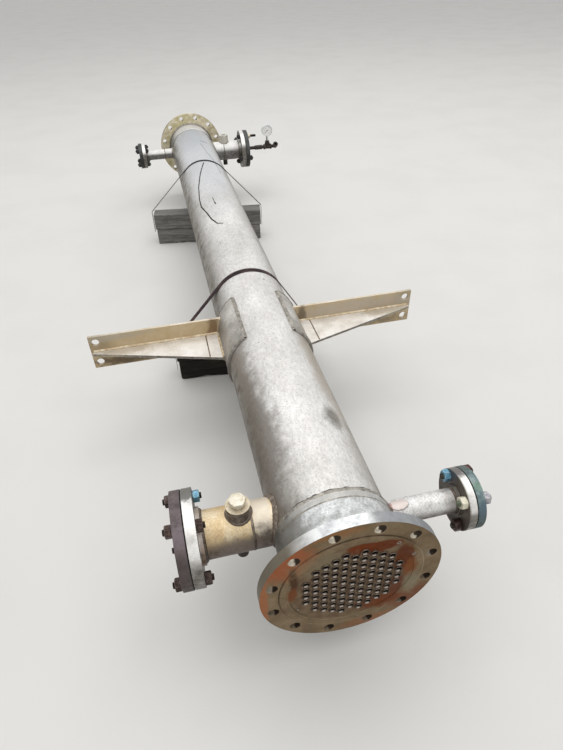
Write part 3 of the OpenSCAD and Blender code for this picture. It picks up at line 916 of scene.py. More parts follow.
def nut(axis: Axis, start: float, flats: float, height: float, bore_r: float, finish: int = 0) -> Surface:
    """Makes a hexagon nut with both rims chamfered.

    The radius is the smaller of the hexagon's, half the flats / cos(angle from the nearest flat), and
    the chamfer's, which grows from 0.96 of half the flats at each rim by 1.75 for each unit of height.

    Args:
        axis: Axis of the nut, with a corner at the zero direction.
        start: Distance of the nut's first face along the axis.
        flats: Width across the flats.
        height: Height of the nut.
        bore_r: Radius of the bore.
        finish: Place of the material in the piece's list.

    Returns:
        The nut's skin.
    """
    angles = all_round(48)
    hexagon = flats / 2 / np.cos(np.mod(angles, TURN / 6) - TURN / 12)
    heights = np.array([0.0, 0.05, 0.1, 0.16, 0.5, 0.84, 0.9, 0.95, 1.0])[:, None] * height
    chamfer = 0.48 * flats + 1.75 * np.minimum(heights, height - heights)
    inside = np.full((1, len(angles)), bore_r)
    radius = np.concatenate([inside, np.minimum(hexagon, chamfer), inside])
    distance = np.concatenate([heights[:1], heights, heights[-1:]]) + start
    return Surface(axis.place(distance, radius, angles), True, finish)


def stud(axis: Axis, start: float, end: float, radius: float, pitch: float, finish: int = 0) -> Surface:
    """Makes a threaded stud with chamfered ends.

    The radius falls by 0.55 pitch × the triangle wave of (distance / pitch - angle / turn), and by the
    chamfer over the last millimetre and a half.

    Args:
        axis: Axis of the stud.
        start: Distance of one end along the axis.
        end: Distance of the other end.
        radius: Outside radius.
        pitch: Pitch of the thread.
        finish: Place of the material in the piece's list.

    Returns:
        The stud's skin.
    """
    distance = np.linspace(start, end, int((end - start) / (pitch / 4)) + 1)[:, None]
    angle = all_round(24)
    thread = 0.55 * pitch * np.abs(2.0 * np.mod(distance / pitch - angle / TURN, 1.0) - 1.0)
    chamfer = np.clip(1.5 * MM - np.minimum(distance - start, end - distance), 0.0, None)
    return Surface(axis.place(distance, radius - np.maximum(thread, chamfer), angle), False, finish)


# Finishes of this exchanger

# In each Metal below, the fourth colour, where given, is painted shade on steep and hanging faces.
# Weld metal that wasn't brushed: short grey clouds, so the beads stay duller than the plates.
WELD = Metal(
    "dull_stainless_weld", "#6f6b64", "#9c978e", "#cdc8be", "#57514a", cloud=14, speckle=2.5,
    metallic=0.55, roughness=(0.35, 0.6), relief=0.5,
)
# Weld metal under the lugs' tea-coloured stain: cream ripples that catch the light.
CREAM_WELD = Metal(
    "stained_weld_metal", "#b59a76", "#dcc9a8", "#f6ecd6", "#8f7c62", cloud=16, metallic=0.35, relief=0.5,
)
# Weld metal with its heat tint left on: a brown-grey ring round each nozzle.
BROWN_WELD = Metal(
    "heat_tinted_weld", "#544a41", "#7a6e62", "#a79a8a", "#3c332b", cloud=10, metallic=0.4, relief=0.5,
)
# Painted shadow along the stepped edge of a weld: a thin matt dark line.
SHADOW_LINE = Metal(
    "painted_shadow_weld_edge", "#35332f", "#4d4a45", "#77736b", cloud=8, speckle=2.5, roughness=(0.6, 0.8),
)
# Spots ground bare: small grey dots beside the tubes.
PALE_SPOT = Metal(
    "ground_weld_spot", "#7d7c78", "#a5a4a0", "#c9c9c6", "#7c766c", cloud=14, metallic=0.6, relief=0.4,
)
# Weld metal that has rusted: matt brown grains.
RUST_WELD = Metal(
    "rusty_weld_metal", "#3b2c20", "#6b543c", "#9a8464", cloud=12, metallic=0.2, roughness=(0.6, 0.85),
    relief=0.6,
)
# Seal welds of the tubes, rusty and nearly matt: dark rings that part the tubes from the plate.
TUBE_WELD = Metal(
    "rusty_tube_weld", "#362a22", "#4a3b30", "#685748", metallic=0.2, roughness=(0.5, 0.75), relief=0.3,
    specular=0.2,
)
# Rolled stainless sheet as the mill leaves it: broad pale clouds, soft sheen, dull pits and painted shade on
# the flanks.
SHELL = Metal(
    "mill_finished_shell", "#cbc9c4", "#e0dedb", "#f0efed", "#514839", slope=(0.96, 0.3), cloud=120,
    speckle=9, speckled=0.16, stretch=(1, 2.2, 1), metallic=0.45, roughness=(0.36, 0.55), relief=0.35,
    wander=35, pitted=0.4,
    stains=(
        Stain((75, 390, 110), (22, 40, 30), "#5f584e", 0.8, 0.9, 0.5),
        # This patch and the next two darken the flanks as painted shade.
        Stain((-110, 420, 75), (45, 280, 60), "#5b5042", 0.65, 1.3, 0.6),
        Stain((-115, 760, 65), (35, 190, 45), "#857d73", 0.55, 1.3, 0.6),
        Stain((105, 640, 80), (30, 260, 50), "#a99d8c", 0.5, 1.2, 0.6),
        Stain((0, 2700, 136), (120, 700, 80), "#c3c7cc", 0.75, 1, 0.6),
        Stain((-10, 3060, 136), (120, 230, 60), "#aeb2b7", 0.75, 1, 0.6),
    ),
)
# The same sheet handled at the works: tighter grey mottling beside the tubesheets.
RINGS = Metal(
    "mill_finished_rings", "#a3a6a3", "#d0d2d2", "#e8eaea", "#5b5850", slope=(0.93, 0.25), cloud=28,
    speckle=6, speckled=0.3, metallic=0.5, relief=0.3, wander=26, pitted=0.3,
    stains=(
        Stain((0, 3275, 130), (150, 90, 60), "#e6e3e2", 0.8, 0.6, 0.4),
        Stain((-105, 75, 85), (32, 60, 50), "#7c7a74", 0.75, 1.2, 0.5),
        Stain((-20, 128, 139), (160, 9, 60), "#b3b0aa", 0.7, 0.8, 0.5),
    ),
)
# Plate turned on a lathe, then rained on: faint circles under orange and brown rust, a bare bright rim.
NEAR_TUBESHEET = Tubesheet(
    "turned_rusty_plate", "#68573f", "#7f6d52", "#937f66", cloud=75, speckle=3.5, speckled=0.22,
    metallic=0.12, roughness=(0.5, 0.75), relief=0.2, worn="#8d7d68", edge=0.6, wander=16, inner="#7d6a52",
    inner_dark="#6a553f", bare_side="#69604f",
    stains=(
        Stain((-150, 0, 130), (62, 30, 58), "#9c5a36", 0.9, 0.7, 0.4),
        Stain((-197, 0, 10), (12, 30, 105), "#a0643e", 0.85, 0.8, 0.4),
        Stain((-60, 0, 190), (70, 30, 15), "#94683f", 0.7, 0.9, 0.5),
        Stain((150, 0, -118), (66, 30, 46), "#744630", 0.85, 0.7, 0.4),
        Stain((70, 0, -184), (90, 30, 20), "#8c6044", 0.75, 0.8, 0.4),
        Stain((-130, 0, 62), (9, 20, 42), "#45290f", 0.9, 1, 0.4),
        Stain((-133, 0, 8), (11, 20, 24), "#74401c", 0.9, 1, 0.4),
        Stain((39, 0, 116), (62, 20, 20), "#632b03", 0.97, 0.35, 0.14),
        Stain((14, 0, 126), (34, 20, 12), "#6b3004", 0.95, 0.3, 0.14),
        Stain((112, 0, 52), (24, 20, 52), "#5c2902", 0.95, 0.6, 0.25),
        Stain((132, 0, 8), (14, 20, 36), "#7a4319", 0.85, 0.7, 0.35),
        Stain((64, 0, -104), (52, 20, 26), "#6b3413", 0.92, 0.8, 0.3),
        Stain((102, 0, -52), (22, 20, 38), "#5e2c0e", 0.85, 0.9, 0.35),
        Stain((-70, 0, 96), (60, 20, 34), "#837a60", 0.6, 0.8, 0.5),
        Stain((140, 0, -56), (18, 20, 44), "#857f66", 0.6, 0.6, 0.4),
    ),
)
# The same plate aged outdoors: olive dirt and yellow-green growth on its bare side.
FAR_TUBESHEET = Tubesheet(
    "turned_olive_plate", "#574836", "#6a5b47", "#7d6c57", cloud=80, speckle=4, speckled=0.22,
    metallic=0.12, roughness=(0.5, 0.75), worn="#b9ab97", front=1, bare="#e6dcc2", bare_dark="#bfb48f",
    bare_side="#7d745e", bare_right="#a59b80", bare_metallic=0.25, grown=0.42,
    stains=(
        Stain((-120, 3355, 130), (80, 20, 60), "#7d4a2c", 0.8, 0.9, 0.5),
        Stain((110, 3355, -120), (80, 20, 60), "#6b4130", 0.8, 0.9, 0.5),
        Stain((60, 3355, 110), (60, 20, 26), "#602c0c", 0.85, 0.6, 0.3),
    ),
)
# Sawn tube ends: brown faces round mouths in painted shade, with a painted bright crescent at the bottom.
TUBES = TubeEnds(
    "cut_tube_ends", "#463829", "#5d4c3b", "#7d6a56", speckle=2.5, speckled=0.2, metallic=0.05,
    roughness=(0.5, 0.7), specular=0.25,
)
# Nozzle pipe under a cream heat stain: warm top, painted shade on the underside.
CREAM_PIPE = Metal(
    "stained_nozzle_pipe", "#cdb084", "#e6cda1", "#f2e3c4", "#4d4337", slope=(0.82, 0.1), cloud=45,
    speckle=4, speckled=0.22, metallic=0.35, relief=0.3,
    stains=(
        Stain((-158, 197, 40), (24, 90, 60), "#e2d8c8", 0.85, 0.5, 0.3),
        Stain((-158, 150, 6), (30, 40, 34), "#453b31", 0.85, 0.9, 0.5),
        Stain((-215, 140, 2), (70, 24, 26), "#7d7264", 0.7, 0.9, 0.5),
        Stain((-220, 160, -20), (90, 40, 40), "#7a6a68", 0.6, 1.2, 0.5),
    ),
)
# Drawn stainless pipe: fine speckle, a paler sanded patch and a brown edge at the shell.
PIPE = Metal(
    "mill_finished_nozzle_pipe", "#c6c5c2", "#e6e5e3", "#f8f8f7", "#585148", slope=(0.6, -0.25), cloud=32,
    speckle=3.5, speckled=0.3, metallic=0.45, relief=0.3, pitted=0.35,
    stains=(
        Stain((164, 144, 30), (26, 16, 14), "#6f5e58", 0.75, 0.3, 0.1),
        Stain((165, 146, 30), (23, 14, 12), "#d8ccc7", 0.95, 0.3, 0.1),
        Stain((142, 140, 25), (5, 18, 14), "#8b5a52", 0.7, 0.9, 0.4),
        Stain((292, 146, 0), (16, 90, 90), "#8f8580", 0.4, 0.9, 0.5),
    ),
)
# The same pipe further off: near white as a painted highlight, over painted shade on the underside.
FAR_PIPE = Metal(
    "far_pipe_painted_highlight", "#e6e4df", "#fbfaf7", "#ffffff", "#4b4742", slope=(0.55, 0.05), cloud=32,
    speckle=3.5, speckled=0.2, metallic=0.15, relief=0.3, pitted=0.3,
)
# Forged and turned flange: bright smooth rim, dull grey top, brown back.
FLANGE = Metal(
    "turned_stainless_flange", "#c9c6c1", "#ebe9e5", "#fbfaf7", "#544e45", slope=(0.54, 0.26), cloud=40,
    speckled=0.16, metallic=0.45, roughness=(0.3, 0.5), worn="#c9c5bd", edge=1,
    stains=(
        Stain((-300, 197, 0), (12, 75, 75), "#a3866f", 0.9, 0.3, 0.3),
        Stain((310, 146, 0), (7, 90, 90), "#564d40", 0.85, 0.2, 0.3),
        Stain((308, 146, -60), (9, 90, 48), "#2b1a12", 0.95, 0.4, 0.4),
        Stain((-319, 292, 90), (30, 84, 70), "#62605b", 0.9, 0.25, 0.12),
        Stain((321, 208, 60), (30, 58, 60), "#5d5757", 0.9, 0.3, 0.14),
        Stain((319, 3250, 90), (30, 84, 70), "#55504a", 0.9, 0.25, 0.12),
        Stain((-319, 3270, 50), (30, 60, 60), "#55504a", 0.9, 0.25, 0.12),
    ),
)
# Graphite sheet: a matt black line between flange and cover.
GASKET = Plain("graphite_gasket", "#141414", "#2b2a28", roughness=0.8)
# Old primer on steel: flat purple-brown with rubbed paler edges.
DARK_COVER = Metal(
    "old_brown_purple_paint", "#4b3f40", "#64585a", "#786b6a", "#3f3532", slope=(0.6, -0.2), cloud=35,
    speckle=4, speckled=0.2, metallic=0.2, roughness=(0.42, 0.7), worn="#85777a", edge=1.2,
    stains=(
        Stain((-346, 130, 96), (20, 30, 20), "#7b6f74", 0.6, 1, 0.5),
        Stain((-352, 95, 40), (20, 30, 40), "#473c3b", 0.6, 1, 0.5),
        Stain((-374, 197, 0), (18, 100, 100), "#40342e", 0.6, 1, 0.5),
    ),
)
# Weathered teal paint: chalky blue-green clouds and rubbed edges.
TEAL_COVER = Metal(
    "old_teal_paint", "#3f565a", "#7d9193", "#a5b4af", "#2b3b3a", slope=(0.7, 0), cloud=24, speckle=3.5,
    speckled=0.3, metallic=0.15, roughness=(0.4, 0.7), worn="#93a79f", edge=1.2,
    stains=(
        Stain((346, 190, 62), (20, 34, 30), "#3f4a45", 0.8, 0.8, 0.4),
        Stain((346, 88, 30), (20, 24, 26), "#4a5f6e", 0.8, 0.8, 0.4),
        Stain((346, 120, 72), (20, 10, 20), "#7d9a86", 0.6, 0.9, 0.4),
    ),
)
# Old black paint: flat charcoal with grey worn edges.
BLACK_COVER = Metal(
    "old_black_paint", "#2c2d2d", "#454846", "#6a6c6e", "#232423", slope=(0.5, -0.5), cloud=40, speckle=4,
    metallic=0.2, roughness=(0.42, 0.7), worn="#6f706e", edge=1.2,
)
# Forged coupling under the same cream stain: pale top, painted shade on the sides.
COUPLING = Metal(
    "stained_forged_coupling", "#d2c3a6", "#ddd0b6", "#ece2cd", "#4a3c3c", slope=(0.8, 0.35), cloud=18,
    speckled=0.25, worn="#e9dcc0", edge=1.2,
)
# Clean forged coupling: satin grey with a bright lip.
BRIGHT_COUPLING = Metal(
    "forged_stainless_coupling", "#b9b6ae", "#d6d3cc", "#efeeea", "#d9d4c8", slope=(0.8, 0), cloud=18,
    metallic=0.5, worn="#f3f1ea", edge=1.2,
)
# Forged plug: smooth, nearly white hexagon that stands out from the pipe.
PLUG = Metal(
    "pale_forged_plug", "#d3c8ae", "#efe8d6", "#fbf8ef", "#b7a98c", slope=(0.3, -0.6), cloud=14,
    speckle=2.5, speckled=0.15, roughness=(0.35, 0.5),
)
# Malleable iron fittings: dark grainy skin with worn high spots.
DARK_FITTING = Metal(
    "black_malleable_iron", "#201a18", "#37302c", "#5a4e46", cloud=14, metallic=0.5, worn="#6e6158",
    edge=1.2,
    stains=(
        Stain((466, 197, 0), (4, 30, 30), "#c9c2b4", 0.85, 0.4, 0.3),
    ),
)
# Brushed gauge case: satin ring round the dial.
GAUGE_CASE = Metal(
    "satin_gauge_case", "#b5b8b9", "#e3e6e6", "#e9eaea", "#6b6d6e", slope=(0.2, -0.8), cloud=20,
    speckle=1.5, speckled=0.1, metallic=0.85, roughness=(0.25, 0.4), worn="#f2f2f2", edge=1,
)
# Rolled pad plate: grey mill skin, duller than the shell.
PAD = Metal(
    "mill_finished_pad", "#918f8a", "#b9b5ae", "#d8d5d0", "#6a645c", slope=(0.8, -0.1), cloud=60,
    speckle=6, speckled=0.25, metallic=0.5, worn="#f3f2ee",
)
# Hot-rolled plate with tea-coloured run-off: tan face, pale edge, brown at the foot.
PLATE = Metal(
    "stained_bearing_plate", "#d2c0a2", "#e6d9c2", "#f6eedf", "#c9b38c", slope=(0.9, 0.2), cloud=80,
    speckle=5, speckled=0.25, stretch=(1, 1, 2), roughness=(0.4, 0.65), worn="#d8cfbd", wander=22,
    stains=(
        Stain((0, 1016, -50), (620, 30, 26), "#6a5a44", 0.7, 0.9, 0.5),
        Stain((-470, 1016, -46), (90, 9, 24), "#55432a", 0.75, 0.8, 0.4),
        Stain((560, 1016, 25), (50, 30, 40), "#8a805c", 0.6, 0.9, 0.5),
        Stain((-560, 1016, 25), (50, 30, 40), "#8c7a5c", 0.6, 0.9, 0.5),
        Stain((370, 1016, 20), (240, 9, 34), "#bdb2a2", 0.8, 0.9, 0.5),
        Stain((-500, 1016, 50), (120, 9, 16), "#b9b0a0", 0.6, 0.9, 0.5),
        Stain((162, 1016, 0), (16, 30, 60), "#6e5c46", 0.8, 0.6, 0.4),
        Stain((-160, 1016, 0), (22, 30, 60), "#7a5a38", 0.8, 0.8, 0.4),
    ),
)
# Cleaner plate on top: nearly white triangle with painted shade on its edges.
GUSSET = Metal(
    "pale_gusset_plate", "#d6d0c6", "#f0ebe3", "#fbf9f5", "#5f594d", slope=(0.7, 0.1), cloud=70, speckle=5,
    speckled=0.14, metallic=0.35, roughness=(0.4, 0.6), worn="#f6f4ee",
    stains=(
        Stain((470, 1000, 0), (90, 30, 30), "#b9ac93", 0.6, 1, 0.5),
        Stain((-470, 1000, 0), (90, 30, 30), "#b9ac93", 0.6, 1, 0.5),
    ),
)
# Steel strapping gone brown: a thin matt band.
BROWN_STRAP = Metal(
    "rusty_strap_band", "#2a2022", "#36272b", "#5d4a44", cloud=30, speckle=2.5, metallic=0.1,
    roughness=(0.7, 0.85), specular=0.2,
)
# Black enamelled strapping: a thin dark band, and hardened tar on the shell.
BLACK_STRAP = Metal(
    "black_strap_band", "#0d0d0d", "#161616", "#2a2826", cloud=30, speckle=2.5, metallic=0,
    roughness=(0.65, 0.8), specular=0.2,
)
# Old softwood, nearly black, with grain and open checks that only the light shows.
DARK_WOOD = Wood("nearly_black_old_softwood", "#151310", "#24211d", "#3d3831", -5, split=0.5)
# Softwood grey from weather: long silver grain, with painted light that makes the top faces paler.
GREY_WOOD = Wood("weathered_grey_softwood", "#5d5b58", "#7d7c79", "#969592", -9, split=0.3, dried=0.55)
# Smooth plaster floor: pale and even, so only the shadow shows.
STUDIO_FLOOR = Plain("pale_studio_floor", "#e9e8e5", "#e6e5e2", roughness=0.9, cloud=400)
# Enamelled sheet: clean white, so the thin print reads.
DIAL = Plain("enamelled_dial", "#ffffff", "#f4f3ec", roughness=0.35)
# Printed ink: flat black.
INK = Plain("printed_black_ink", "#17181a", "#222326", roughness=0.5)
# Flat window glass: only a faint shine over the dial.
GLASS = Plain("gauge_glass", "#f7fbfb", "#ffffff", roughness=0.05, alpha=0.06)


class NutFinish(Enum):
    """Finishes of the nuts, which differ from one to the next."""

    # Plain steel nut left to rust: dark brown with rubbed corners.
    BROWN = Metal(
        "rusty_brown_nut", "#241713", "#3c2a24", "#75615a", speckle=2, metallic=0.35, roughness=(0.4, 0.7),
        worn="#a3938b", edge=1,
    )
    # Blue zinc plating: the clear blue nuts that catch the eye.
    BLUE = Metal(
        "zinc_plated_nut", "#4d86a6", "#7ab4cf", "#b4dae8", speckle=2, roughness=(0.25, 0.45),
        worn="#edf4f6", edge=1,
    )
    # Plating turned to white bloom: chalky cream flats.
    CREAM = Metal(
        "chalky_cream_nut", "#d3cab0", "#efe9d2", "#f1efdc", "#8b8468", slope=(0.2, -0.8), speckle=2,
        metallic=0.2, roughness=(0.5, 0.7), worn="#f8f6e8", edge=1,
    )
    # Dull zinc: lilac grey with pale corners.
    LAVENDER = Metal(
        "dull_zinc_nut", "#7d7a86", "#a7a4ad", "#d6d0c8", speckle=2, metallic=0.5, roughness=(0.35, 0.55),
        worn="#e6e1da", edge=1,
    )
    # Red rust on steel: warm dark flats.
    REDDISH = Metal(
        "red_rust_nut", "#2b1512", "#4a2a22", "#74463a", speckle=2, metallic=0.25, roughness=(0.5, 0.8),
        worn="#8f6a5c", edge=1,
    )
    # Black oxide skin: nearly black with grey corners.
    BLACK = Metal(
        "black_oxide_nut", "#15161a", "#2a2a2c", "#55524e", speckle=2, roughness=(0.45, 0.7),
        worn="#6d6a66", edge=0.8,
    )
    # Oiled stud thread: dark with a faint glint on the crests.
    THREAD = Metal(
        "dark_stud_thread", "#1d1814", "#38312a", "#5f5a4a", cloud=7, speckle=1.5, metallic=0.5,
        roughness=(0.4, 0.65),
    )
    # Stud thread with green corrosion on it: dull grey-green end.
    GREEN_THREAD = Metal(
        "greenish_stud_thread", "#4a5546", "#74806a", "#a3ab90", cloud=7, speckle=1.5, metallic=0.4,
        roughness=(0.4, 0.65),
    )


# Sub-assemblies


@dataclass
class Studio:
    """Floor, light and camera. The camera stands where the photograph was taken from.

    Attributes:
        floor_z: Height of the ground under the timbers.
        camera: Place of the camera.
        right: Direction to the right in the picture.
        down: Direction down in the picture.
        forward: Direction into the picture.
        lens: Focal length in millimetres, for the sensor's width.
        sensor: Width of the sensor in millimetres.
        floor_reach: Distance from the origin to the floor's edges.
        ambient: Strength of the sky as light.
        key_watts: Power of the lamp overhead.
        key_size: Side of the lamp.
        key_place: Place of the lamp.
    """

    floor_z: float
    camera: Vec = (-0.26325, -0.56147, 1.06463)
    right: Vec = (0.972475, -0.231741, -0.024276)
    down: Vec = (-0.164071, -0.607055, -0.777539)
    forward: Vec = (0.165451, 0.760119, -0.628367)
    lens: float = 34.06
    sensor: float = 36.0
    floor_reach: float = 60.0
    ambient: float = 0.55
    key_watts: float = 330.0
    key_size: float = 9.0
    key_place: Vec = (0.6, 1.5, 6.7)

    def build(self) -> None:
        """Makes the camera, the floor, the lamp overhead and the sky."""
        self.add_camera()
        self.add_floor()
        self.add_light()
        self.add_sky()

    def add_camera(self) -> None:
        """Makes the camera from its three directions."""
        lens = bpy.data.cameras.new("camera")
        lens.sensor_fit = "HORIZONTAL"
        lens.sensor_width = self.sensor
        lens.lens = self.lens
        lens.clip_end = 200.0
        camera = stand("camera", lens)
        turned = np.eye(4)
        turned[:3] = np.array([self.right, self.down, self.forward, self.camera]).T * (1, -1, -1, 1)
        camera.matrix_world = Matrix(turned.tolist())
        bpy.context.scene.camera = camera

    def add_floor(self) -> None:
        """Makes the pale floor."""
        reach = self.floor_reach
        corners = [(-reach, -reach), (reach, -reach), (reach, reach), (-reach, reach)]
        mesh = bpy.data.meshes.new("floor")
        mesh.from_pydata([(x, y, self.floor_z - 0.5 * MM) for x, y in corners], [], [(0, 1, 2, 3)])
        floor = stand("floor", mesh)
        mesh.materials.append(STUDIO_FLOOR.material())
        floor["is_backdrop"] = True

    def add_light(self) -> None:
        """Makes one wide soft lamp overhead, like an overcast sky."""
        lamp = bpy.data.lights.new("soft_top_lamp", "AREA")
        lamp.shape = "SQUARE"
        lamp.size = self.key_size
        lamp.energy = self.key_watts
        lamp.color = (1.0, 0.99, 0.975)
        stand("soft_top_lamp", lamp).location = self.key_place

    def add_sky(self) -> None:
        """Makes a sky that is white to the camera and in reflections, and dimmer as light."""
        world = bpy.data.worlds.new("plain_sky")
        world.use_nodes = True
        bpy.context.scene.world = world
        tree = world.node_tree
        background = next(n for n in tree.nodes if n.type == "BACKGROUND")
        path = put(tree, Kind.LIGHT_PATH).node.outputs
        seen = put(tree, Kind.LARGER, path["Is Camera Ray"], path["Is Glossy Ray"])
        seen = put(tree, Kind.LARGER, seen, path["Is Transmission Ray"])
        strength = put(tree, Kind.EASE, seen, 0.0, 1.0, self.ambient, 1.0)
        tree.links.new(strength, background.inputs["Strength"])
        background.inputs["Color"].default_value = (1.0, 1.0, 1.0, 1.0)


@dataclass
class Vessel:
    """Shell, end rings, tubesheets and tubes, with their welds.

    Attributes:
        tube_pitch: Distance between neighbouring tubes.
        field_r: Radius of the circle that holds the tubes' centres.
        tube_r: Outside radius of a tube.
        seam_angle: Angle of the shell's long seam from the top, in radians.
        ring_line_y: Place of the smooth weld line on the near end ring.
        dark_lines: Width of each thin dark line, in millimetres, with its places along the shell, in metres,
            and angles from the top, in degrees.
        specks: Dark spots the same way, each with its radius in millimetres at the end.
        spots: X, Z and radius of the drilled spots and weld spatter on the near tubesheet, in millimetres.
        axis: The shell's axis, with its angles counted from the top.
    """

    tube_pitch: float = 23.8 * MM
    field_r: float = 110 * MM
    tube_r: float = 9.525 * MM
    seam_angle: float = math.radians(30)
    ring_line_y: float = 118 * MM
    dark_lines: tuple[tuple[float, tuple[tuple[float, float], ...]], ...] = (
        (
            6.0,
            (
                (1.643, -8.2), (1.661, -18.1), (1.728, -25.7), (1.819, -30.8), (1.928, -38.2),
                (2.017, -37.2), (2.167, -30.2), (2.335, -16.6), (2.494, -0.6),
            ),
        ),
        (6.0, ((1.874, -9.0), (1.900, -9.4))),
        (3.0, ((1.900, -9.4), (1.959, -10.3))),
        (5.0, ((2.922, 29.4), (2.940, 13.4))),
        (1.6, ((2.347, 31.8), (2.575, 26.1), (2.690, 18.2), (2.872, 10.1))),
    )
    specks: tuple[Vec, ...] = (
        (1.126, 21.7, 3.4), (0.742, -20.0, 1.8), (1.420, 6.0, 1.6), (1.610, 14.0, 1.5),
        (1.684, -42.9, 3.0), (1.476, -24.9, 3.0), (1.771, -14.6, 2.0), (2.120, 4.0, 2.0),
        (2.310, 17.0, 1.7),
    )
    spots: tuple[Vec, ...] = (
        (92.4, 114.7, 5.2), (132.9, 59.7, 4.6), (-121.0, -58.0, 2.2), (20.0, -148.0, 2.0),
    )
    axis: Axis = Axis(np.zeros(3), Y, Z)

    def __post_init__(self) -> None:
        """Reads the vessel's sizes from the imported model."""
        shell_low, shell_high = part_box("shell")
        ring_low, ring_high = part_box("end_rings")
        self.shell_r = shell_high.z
        self.ring_r = ring_high.z
        self.seams = (shell_low.y, shell_high.y)
        self.backs = (ring_low.y, ring_high.y)
        raised = -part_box("near_tubesheet")[0].y
        self.faces = (0.0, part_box("far_tubesheet")[1].y - raised)

    def radius_at(self, y: np.ndarray) -> np.ndarray:
        """Gives the radius of the shell or end ring at places along the axis."""
        inside = (y > self.seams[0]) & (y < self.seams[1])
        return np.where(inside, self.shell_r, self.ring_r)

    def build(self) -> None:
        """Dresses the vessel's nodes and adds its welds."""
        give("shell", SHELL)
        give("end_rings", RINGS)
        give("near_tubesheet", NEAR_TUBESHEET)
        give("far_tubesheet", FAR_TUBESHEET)
        give("tubes", TUBES)
        self.add_girth_welds()
        self.add_tubesheet_welds()
        self.add_long_seam()
        self.add_tube_end_welds()
        self.add_spots()
        self.add_dark_lines()

    def add_girth_welds(self) -> None:
        """Makes the welds between end rings and shell, a painted shadow line beside the near one, and the
        line on each ring.
        """
        near, far = self.seams
        middle_r = (self.shell_r + self.ring_r) / 2
        joint = {"width": 11, "height": 2.3, "jagged": 1.6}
        step_shadow = {"width": 4, "height": 0.9, "jagged": 3.2}
        line = {"width": 4, "height": 0.5}
        rows = (
            (near - 1 * MM, middle_r, 300, 3, 0, joint),
            (far + 1 * MM, middle_r, 300, 4, 2, joint),
            # Painted shadow line along the step beside the near weld.
            (near + 4.5 * MM, self.shell_r, 500, 5, 1, step_shadow),
            (self.ring_line_y, self.ring_r, 300, 11, 0, line),
            (far + near - self.ring_line_y, self.ring_r, 300, 11, 0, line),
        )
        surfaces = []
        for y, radius, steps, seed, finish, sizes in rows:
            path = self.axis.place(y, radius, all_round(steps))
            surfaces.append(bead(path, Y, outward(path), seed=seed, finish=finish, **sizes))
        assemble("girth_welds", surfaces, [WELD, SHADOW_LINE, RINGS], sharp=60)

    def add_tubesheet_welds(self) -> None:
        """Makes the fillet welds between end rings and tubesheets."""
        surfaces = []
        for seed, y, inwards in zip((21, 22), self.backs, (Y, -Y)):
            path = self.axis.place(y, self.ring_r, all_round(300))
            surfaces.append(fillet(path, outward(path), inwards, 9 * MM, seed))
        assemble("tubesheet_welds", surfaces, [WELD], sharp=60)

    def add_long_seam(self) -> None:
        """Makes the low weld along the whole shell."""
        y = np.linspace(self.seams[0] + 2 * MM, self.seams[1] - 2 * MM, 900)
        path = self.axis.place(y, self.shell_r, self.seam_angle)
        out = outward(path)
        seam = bead(path, np.cross(out, Y), out, 5, 0.35, seed=31, closed=False, jagged=0.5)
        assemble("long_seam_weld", [seam], [SHELL], sharp=60)

    def tube_centres(self) -> np.ndarray:
        """Gives X and Z of the tubes: a triangular grid with upright columns, inside the tube field."""
        step = self.tube_pitch * math.sin(math.radians(60))
        reach = math.ceil(self.field_r / step)
        column, row = np.meshgrid(np.arange(-reach, reach + 1), np.arange(-reach, reach + 1), indexing="ij")
        x = column * step
        z = (row + (np.abs(column) % 2) / 2) * self.tube_pitch
        return np.stack([x, z], -1)[np.hypot(x, z) <= self.field_r + 1e-6]

    def add_tube_end_welds(self) -> None:
        """Makes the small ring weld round each end of each tube, all as one array of points.

        Each weld is a ring with an oval section that stands as high as the tube does.
        """
        centres = self.tube_centres()
        angle = all_round(20)[None, :, None]
        turn = all_round(5)[None, None, :] + 0.6
        x, z = centres.T
        thick = 0.8 * MM * (1.0 + 0.2 * lumps(joined(x, z, 0.0), 5 * MM, 5))[:, None, None]
        radius = self.tube_r + 0.25 * MM + 0.55 * thick * np.cos(turn)
        surfaces = []
        for face, sense in zip(self.faces, BOTH_ENDS):
            y = face + sense * (0.85 * MM + 1.05 * thick * np.sin(turn))
            across, up = radius * np.sin(angle), radius * np.cos(angle)
            rings = joined(x[:, None, None] + across, y, z[:, None, None] + up)
            surfaces += [Surface(ring, loops=True) for ring in rings]
        assemble("tube_end_welds", surfaces, [TUBE_WELD], sharp=80)

    def add_spots(self) -> None:
        """Makes the two small drilled spots and the weld spatter beside the near tube field."""
        profile = ((-0.5, 1.0), (1.6, 1.0), (1.9, 0.8), (1.7, 0.55), (0.8, 0.3))
        axes = [Axis(np.array([x * MM, 0.0, z * MM]), -Y, X) for x, z, _ in self.spots]
        surfaces = [axis.turned(profile, 20, r * MM) for axis, (_, _, r) in zip(axes, self.spots)]
        assemble("tubesheet_spots", surfaces, [PALE_SPOT])

    def add_dark_lines(self) -> None:
        """Makes the dark lines and specks on the shell, as low ridges and drops of hardened tar.

        Between its marks a line runs straight over the unrolled shell.
        """
        surfaces = []
        for seed, (width, line) in enumerate(self.dark_lines, 41):
            marks = np.array(line)
            y = np.linspace(marks[0, 0], marks[-1, 0], 40 * len(marks))
            path = self.axis.place(y, self.shell_r, np.radians(np.interp(y, *marks.T)))
            out = outward(path)
            across = unit(np.cross(np.gradient(path, axis=0), out))
            surfaces.append(bead(path, across, out, width, 0.7, seed, closed=False))
        for y, angle, radius in self.specks:
            foot = self.axis.place(y, self.shell_r - 0.3 * MM, math.radians(angle))
            drop = Axis(foot, outward(foot), Y)
            surfaces.append(drop.turned(((0.0, 1.0), (0.7, 0.8), (0.9, 0.3)), 14, radius * MM))
        assemble("dark_line_on_shell", surfaces, [BLACK_STRAP])


